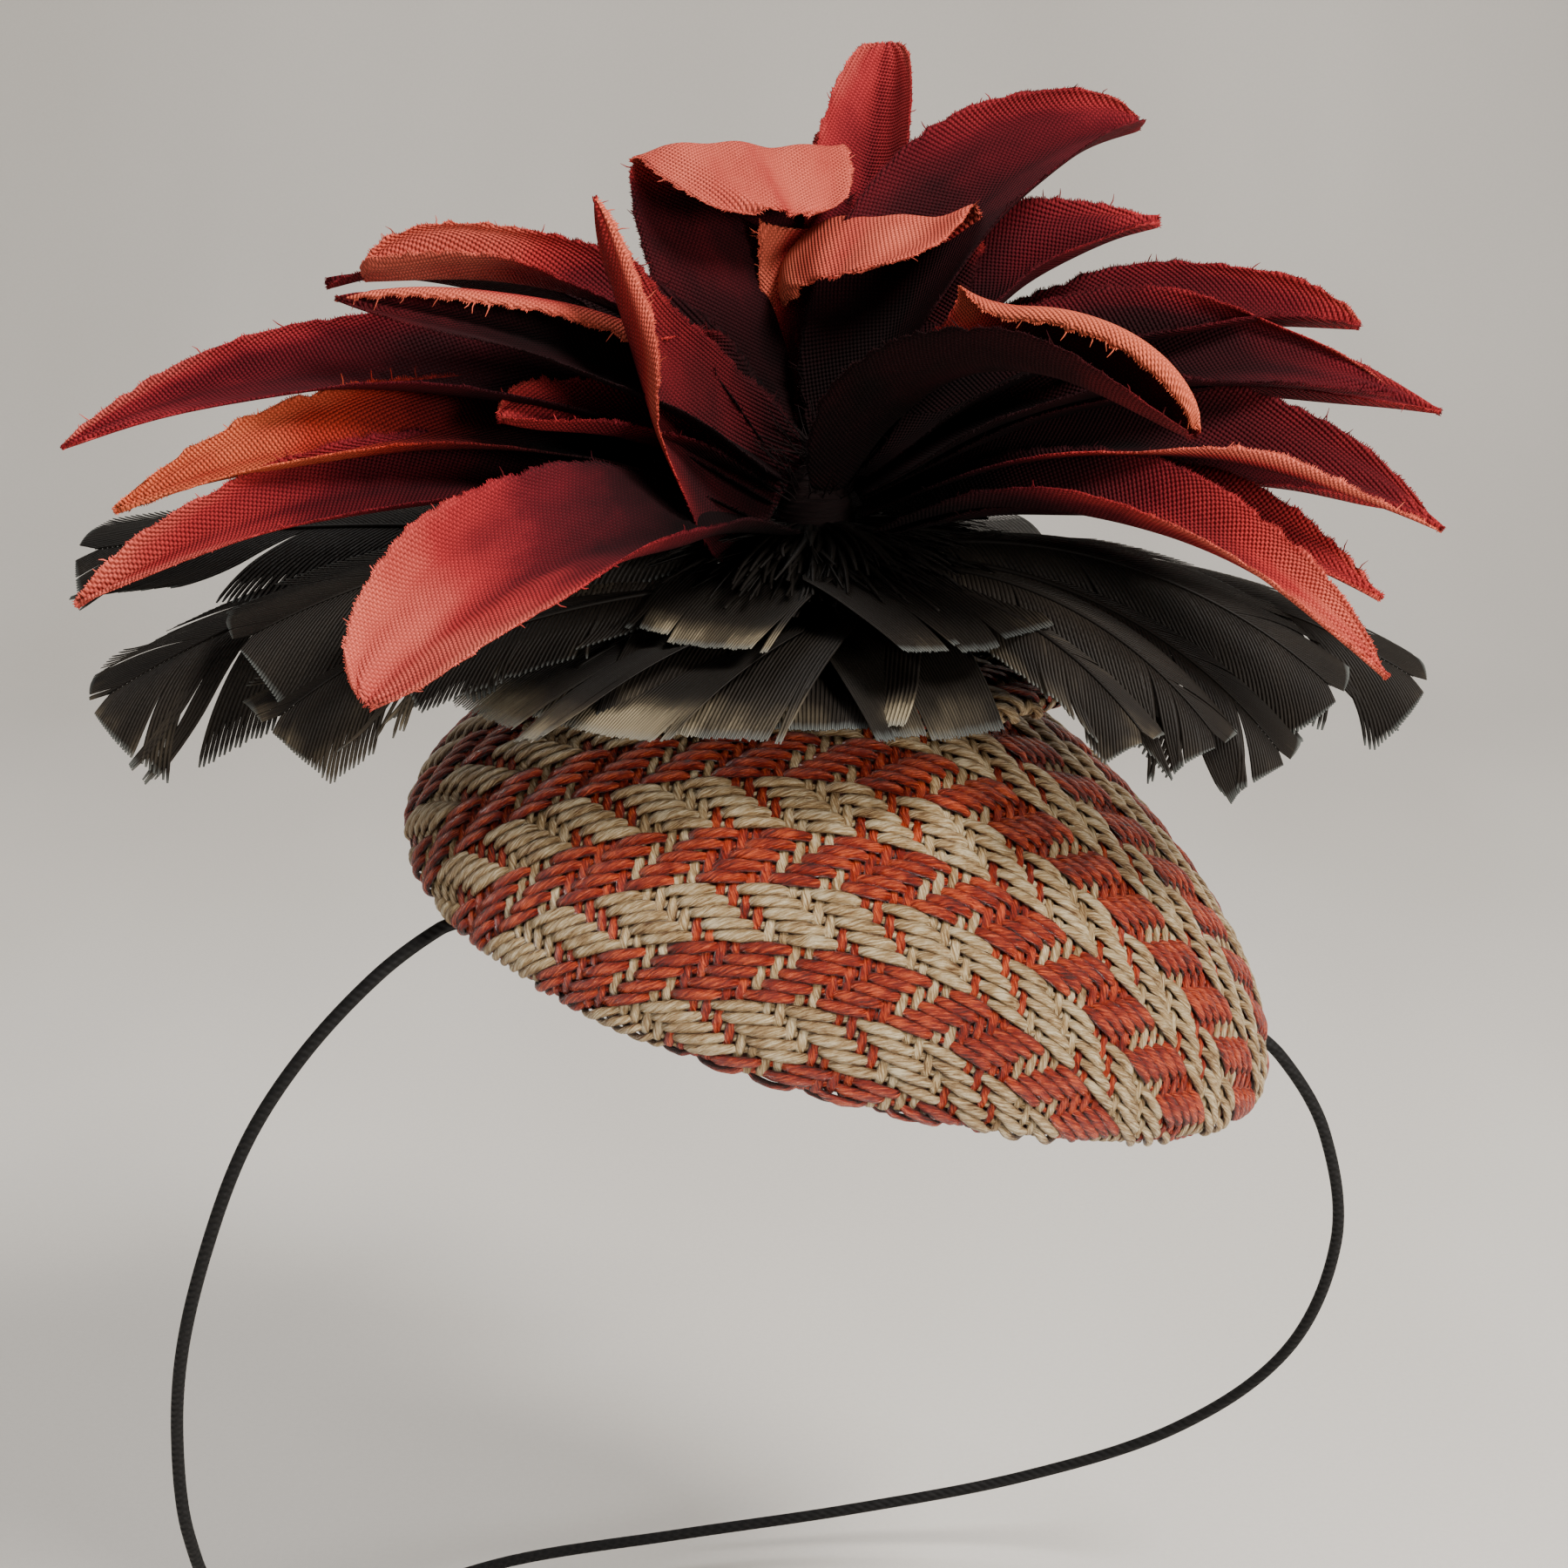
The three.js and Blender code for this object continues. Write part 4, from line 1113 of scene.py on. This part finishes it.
def quill(shape, row, reach, seed):
    """The feather's shaft, thinner towards its cut end, lying on the barbs."""
    s = np.linspace(0.0, reach, 30)
    middle, _, across, up = feather_frames(row, s)
    thick = 0.6 * (1 - 0.75 * s)
    looks = dict(flat=np.full((30, 6, 3), seed), cut=np.zeros((30, 6)), bronze=np.full((30, 6), 0.1))
    tube(shape, middle + 0.2 * up, across, up, thick, thick * 0.8, 6, **looks)


def clusters(low, high, count, opens):
    """Random seams that part the barbs into clusters, with a little scatter of each cluster."""
    seams = np.concatenate([[low - 1e-3], np.sort(random.uniform(low, high, count)), [high + 1e-3]])
    return dict(
        seams=seams,
        lengths=scatter(len(seams), 0.02),
        leans=random.uniform(-1, 1, len(seams)),
        lifts=random.uniform(-1, 1, len(seams)),
        opens=random.uniform(*opens, len(seams)),
        pinch=random.uniform(0.02, 0.16, len(seams)),
    )


def fan_barbs(shape, row, seed, bronze):
    """Barbs that all run from the foot to a square cut, as the short front feathers show."""
    length, width = row[3], row[4]
    fine = np.linspace(0, 1.06, 90)
    middle, _, across, up = feather_frames(row, fine)
    split = clusters(-1, 1, random.integers(1, 4), (0.55, 0.85))
    steps = np.linspace(0, 1, BARB_STEPS)
    spacing = 2 / BARBS
    for number in range(BARBS):
        x = -1 + spacing * (number + 0.5)
        cluster = int(np.searchsorted(split["seams"], x)) - 1
        centre = (split["seams"][cluster] + split["seams"][cluster + 1]) / 2
        end = split["lengths"][cluster] * (1 + 0.004 * random.standard_normal())
        s = 0.04 + (min(end, 1.05) - 0.04) * steps
        parted = np.clip((s - split["opens"][cluster]) / (1 - split["opens"][cluster]), 0, 1) ** 1.4
        place = x + (centre - x) * split["pinch"][cluster] * parted + 0.04 * split["leans"][cluster] * parted
        index = s / fine[1]
        base, side, rise = through(middle, index), unit(through(across, index)), unit(through(up, index))
        reach = width / 2 * FAN_SPREAD * feather_half_width(s)
        bend = place * FEATHER_CUP
        lift = 0.6 * split["lifts"][cluster] * parted + 0.06 * (number % 2)
        high = reach * (1 - np.cos(bend)) / FEATHER_CUP + lift
        line = base + (reach * np.sin(bend) / FEATHER_CUP)[:, None] * side + high[:, None] * rise
        half = reach * spacing * 0.5 * (1.7 - 0.35 * parted) * (1 - 0.4 * smooth_step(0.95, 1.0, steps))
        flat = np.stack([s * length, place * width / 2, 0 * s + seed], -1)
        # glint: the painted bronze sheen along this barb, strongest towards the cut.
        glint = (bronze + 0.03 * random.standard_normal()) * (0.15 + 0.85 * smooth_step(0.7, 0.95, steps))
        barb(shape, line, side, rise, half, flat, 0.4 * smooth_step(0.965, 1.0, steps), glint)


def vane_barbs(shape, row, seed, bronze):
    """Barbs that leave the quill on both sides, bend down like a curtain and are cut square."""
    name, length, width = row[0], row[3], row[4]
    front_droop, back_droop, front_reach, back_reach = VANES[name]
    fine = np.linspace(0, 1.0, 120)
    middle, along, across, up = feather_frames(row, fine)
    front = 1 if across[60][1] < 0 else -1
    steps = np.linspace(0, 1, 16)
    for sign in (front, -front):
        droop = math.radians(front_droop if sign == front else back_droop)
        reach = width * (front_reach if sign == front else back_reach)
        split = clusters(0.1, 1.0, SPLITS.get(name, 7), (0.35, 0.75))
        for foot in np.arange(0.1, 0.985, VANE_STEP / length):
            cluster = int(np.searchsorted(split["seams"], foot)) - 1
            share = smooth_step(0.1, 1.0, foot)
            angle = VANE_ANGLE[0] + (VANE_ANGLE[1] - VANE_ANGLE[0]) * share + 0.05 * split["leans"][cluster]
            full = reach * smooth_step(-0.15, 0.45, foot) / math.sin(angle) * split["lengths"][cluster]
            full = full * (1 + 0.01 * random.standard_normal())
            past_cut = (1.02 - foot) * length / math.cos(angle * 0.8)
            total = min(full, past_cut)
            run = steps * total
            opens = split["opens"][cluster]
            parted = np.clip((run / full - opens) / (1 - opens), 0, 1) ** 1.3
            turned = angle + 0.16 * split["leans"][cluster] * parted
            out = run * np.sin(turned)
            on = run * np.cos(turned)
            place = np.minimum(foot + on / length, 1.0)
            index = place / fine[1]
            base, forward = through(middle, index), unit(through(along, index))
            base = base + (foot * length + on - place * length)[:, None] * forward
            side, rise = unit(through(across, index)), unit(through(up, index))
            bent = droop * np.clip(out / (0.55 * reach), 0, 1) ** 1.2
            between = (bent[1:] + bent[:-1]) / 2
            flat_out = running_sum(np.cos(between) * np.diff(out))
            sunk = running_sum(np.sin(between) * np.diff(out))
            lift = 0.5 * split["lifts"][cluster] * parted
            line = base + (sign * flat_out)[:, None] * side + (lift - sunk)[:, None] * rise
            ahead = unit(np.gradient(line, axis=0))
            normal = unit(np.cos(bent)[:, None] * rise + (sign * np.sin(bent))[:, None] * side)
            beside = unit(np.cross(normal, ahead))
            half = VANE_STEP * math.sin(angle) * 0.75 * (1 - 0.25 * parted)
            half = half * (1 - 0.45 * smooth_step(0.93, 1.0, steps))
            flat = np.stack([run + foot * 7, 0 * run + foot * length, 0 * run + seed], -1)
            # glint: the painted bronze sheen along this barb.
            glint = (bronze + 0.04 * random.standard_normal()) * (0.5 + 0.3 * smooth_step(0.6, 0.9, steps))
            barb(shape, line, beside, normal, half, flat, 0.4 * smooth_step(0.96, 1.0, steps), glint)


def feather_piece(row):
    name = row[0]
    shape = Shape()
    seed, bronze = random.uniform(0, 90), BRONZE.get(name, 0.3) * random.uniform(0.9, 1.1)
    if name in VANES:
        vane_barbs(shape, row, seed, bronze)
        quill(shape, row, 0.99, seed)
    else:
        fan_barbs(shape, row, seed, bronze)
        quill(shape, row, 0.7, seed)
    return shape.piece(f"{name}_barbs", FEATHER_BARBS, "feather", [name])


for feather in FEATHERS:
    feather_piece(feather)

# ---------------------------------------------------------------- the flower's hub

HUB_PROFILE = [
    (0, 50.1), (7.3, 50.1), (7.3, 57), (6.9, 59), (5.8, 62),
    (4.8, 65), (3.9, 67.5), (2.3, 69.6), (1.2, 72.4), (0, 73),
]


def hub_piece():
    """The wrapped hub: close turns of thread, and a fringe of dark ends round its top."""
    radii, heights = np.array(HUB_PROFILE).T
    lengths = running_sum(np.hypot(np.diff(radii), np.diff(heights)))
    fine = np.linspace(0, lengths[-1], 160)
    r, z = np.interp(fine, lengths, radii), np.interp(fine, lengths, heights)
    sides = 64
    angle = full_turn(sides)
    ridges = 0.14 * np.abs(np.sin(fine[:, None] * 3.6 + angle[None, :] * 0.5))
    swell = np.maximum(r[:, None] + ridges - 0.14, 0)
    points = np.stack([swell * np.cos(angle), swell * np.sin(angle), z[:, None] + 0 * swell], -1)
    shape = Shape()
    shape.add(FLOWER + points, grid_faces(160, sides, ring=True))
    for _ in range(150):
        turn = random.uniform(0, 2 * np.pi)
        low = random.uniform(63, 72)
        outward = np.array([math.cos(turn), math.sin(turn), 0.0])
        start = FLOWER + low * UP + 0.7 * np.interp(low, heights[3:], radii[3:]) * outward
        out = unit(outward + random.uniform(0.3, 1.6) * UP)
        t = np.linspace(0, 1, 7)[:, None]
        line = start + out * t * random.uniform(4, 10) + 1.2 * t * t * random.standard_normal(3)
        forward = unit(np.gradient(line, axis=0))
        side = unit(np.cross(forward, [0.3, 0.2, 1.0]))
        thick = np.linspace(0.16, 0.05, 7)
        tube(shape, line, side, np.cross(forward, side), thick, thick, 4)
    return shape.piece("hub_wrapped", WRAPPED_HUB, "hub", ["flower_hub"])


def down_skirt():
    """Downy barbs tied round the hub's foot, which close the gap between petals and feathers."""
    shape = Shape()
    steps = np.linspace(0, 1, 12)
    for number in range(520):
        turn = 2 * math.pi * number / 520 + random.uniform(-0.03, 0.03)
        outward = np.array([math.cos(turn), math.sin(turn), 0])
        level = np.array([-math.sin(turn), math.cos(turn), 0])
        start = FLOWER + random.uniform(57.0, 61.5) * UP + 6.2 * outward
        reach, climb = random.uniform(12, 23), random.uniform(-0.12, 0.16)
        sway = random.uniform(-0.25, 0.25)
        droop = random.uniform(0.08, 0.30)
        run = (reach * steps)[:, None]
        line = start + run * (outward + climb * UP) + reach * sway * (steps ** 2)[:, None] * level
        line[:, 2] -= droop * reach * steps ** 2
        ahead = unit(np.gradient(line, axis=0))
        beside = unit(np.cross(ahead, UP + 0.5 * random.standard_normal(3)))
        half = 0.85 * (1 - 0.8 * steps) + 0.05
        flat = np.stack([reach * steps, 0 * steps + number, 0 * steps], -1)
        barb(shape, line, beside, np.cross(beside, ahead), half, flat, 0 * steps, np.zeros(12))
    return shape.piece("hub_down", FEATHER_BARBS, "feather")


hub_piece()
down_skirt()

# ---------------------------------------------------------------- elastic


def elastic_curve():
    data = bpy.data.curves.new("elastic", "CURVE")
    data.dimensions = "3D"
    data.bevel_depth = ELASTIC_DIAMETER / 2
    data.bevel_resolution = 4
    data.resolution_u = 12
    data.use_fill_caps = True
    spline = data.splines.new("BEZIER")
    spline.bezier_points.add(len(ELASTIC_ROUTE) - 1)
    route = [Vector(point) for point in ELASTIC_ROUTE]
    last = len(route) - 1
    for number, (place, point) in enumerate(zip(route, spline.bezier_points)):
        before, after = route[max(number - 1, 0)], route[min(number + 1, last)]
        forward = (after - before).normalized()
        point.co = place
        point.handle_left_type = point.handle_right_type = "FREE"
        point.handle_left = place - forward * (place - before).length / 3
        point.handle_right = place + forward * (after - place).length / 3
    data.materials.append(BRAID)
    made = bpy.data.objects.new("elastic_cord", data)
    bpy.context.scene.collection.objects.link(made)
    return place_piece(made, ["elastic_loop"])


def knot_piece(name, centre, node):
    """An overhand knot in the elastic's end."""
    t = np.linspace(0, 2 * np.pi * 0.97, 90)
    trefoil = np.stack([np.sin(t) + 2 * np.sin(2 * t), np.cos(t) - 2 * np.cos(2 * t), -np.sin(3 * t)], -1)
    line = trefoil * 0.62 + np.array(centre) / MM
    forward = unit(np.gradient(line, axis=0))
    side = unit(np.cross(forward, [0.2, 0.3, 1.0]))
    shape = Shape()
    thick = np.full(len(t), 0.8)
    tube(shape, line, side, np.cross(forward, side), thick, thick, 10)
    return shape.piece(name, BRAID, "elastic", [node])


knots = [
    knot_piece("knot_left", KNOT_LEFT, "elastic_knot_left"),
    knot_piece("knot_right", KNOT_RIGHT, "elastic_knot_right"),
]
elastic = elastic_curve()

# ---------------------------------------------------------------- stage and light


def backdrop():
    """A pale cloth that runs from the floor up behind the object in one soft bend."""
    n = Nodes("backdrop_cloth")
    # Painted shade: soft broad bands of light and shade stand for folds in the cloth, over its fine grain.
    painted_folds = n.noise(n.stretch(n.object_point(), 2.2, 1.0, 0.5), 2.6, 2.0)
    grain = n.noise(n.object_point(), 900.0, 3.0)
    shade = n.times_plus(grain, 0.2, n.times(painted_folds, 0.8))
    color = n.mix(shade, (0.56, 0.52, 0.475), (0.83, 0.80, 0.755))
    material = n.finish(color, 0.92, n.bump(grain, 0.2, 0.0003))
    floor, bend, back = -0.149, 0.5, 1.25
    profile = [(-2.2, floor), (back - bend, floor)]
    for turn in np.linspace(0, np.pi / 2, 16)[1:]:
        profile.append((back - bend + bend * math.sin(turn), floor + bend * (1 - math.cos(turn))))
    profile.append((back, 3.2))
    profile = np.array(profile)
    x = np.linspace(-3, 3, 3)
    points = np.stack(np.broadcast_arrays(x[None, :], profile[:, :1], profile[:, 1:]), -1)
    mesh = bpy.data.meshes.new("backdrop")
    mesh.from_pydata(points.reshape(-1, 3).tolist(), [], grid_faces(len(profile), 3).tolist())
    mesh.shade_smooth()
    mesh.materials.append(material)
    made = bpy.data.objects.new("backdrop", mesh)
    bpy.context.scene.collection.objects.link(made)


def soft_light(name, place, size, power, color):
    data = bpy.data.lights.new(name, "AREA")
    data.shape = "DISK"
    data.size = size
    data.energy = power
    data.color = color
    made = bpy.data.objects.new(name, data)
    made.location = place
    made.rotation_euler = (AIM - Vector(place)).to_track_quat("-Z", "Y").to_euler()
    bpy.context.scene.collection.objects.link(made)


backdrop()
soft_light("key", (0.5, -0.5, 0.8), 0.3, 16, (1.0, 0.97, 0.92))
soft_light("fill", (-0.7, -0.7, 0.35), 0.8, 1.2, (0.95, 0.97, 1.0))
soft_light("front", (0.62, -0.66, 0.2), 0.22, 5.5, (1.0, 0.96, 0.9))
soft_light("top", (-0.1, 0.25, 0.9), 0.6, 5, (1.0, 0.99, 0.97))

world = bpy.data.worlds.new("studio")
bpy.context.scene.world = world
world.use_nodes = True
world.node_tree.nodes["Background"].inputs["Color"].default_value = (0.82, 0.80, 0.775, 1)
world.node_tree.nodes["Background"].inputs["Strength"].default_value = 0.34
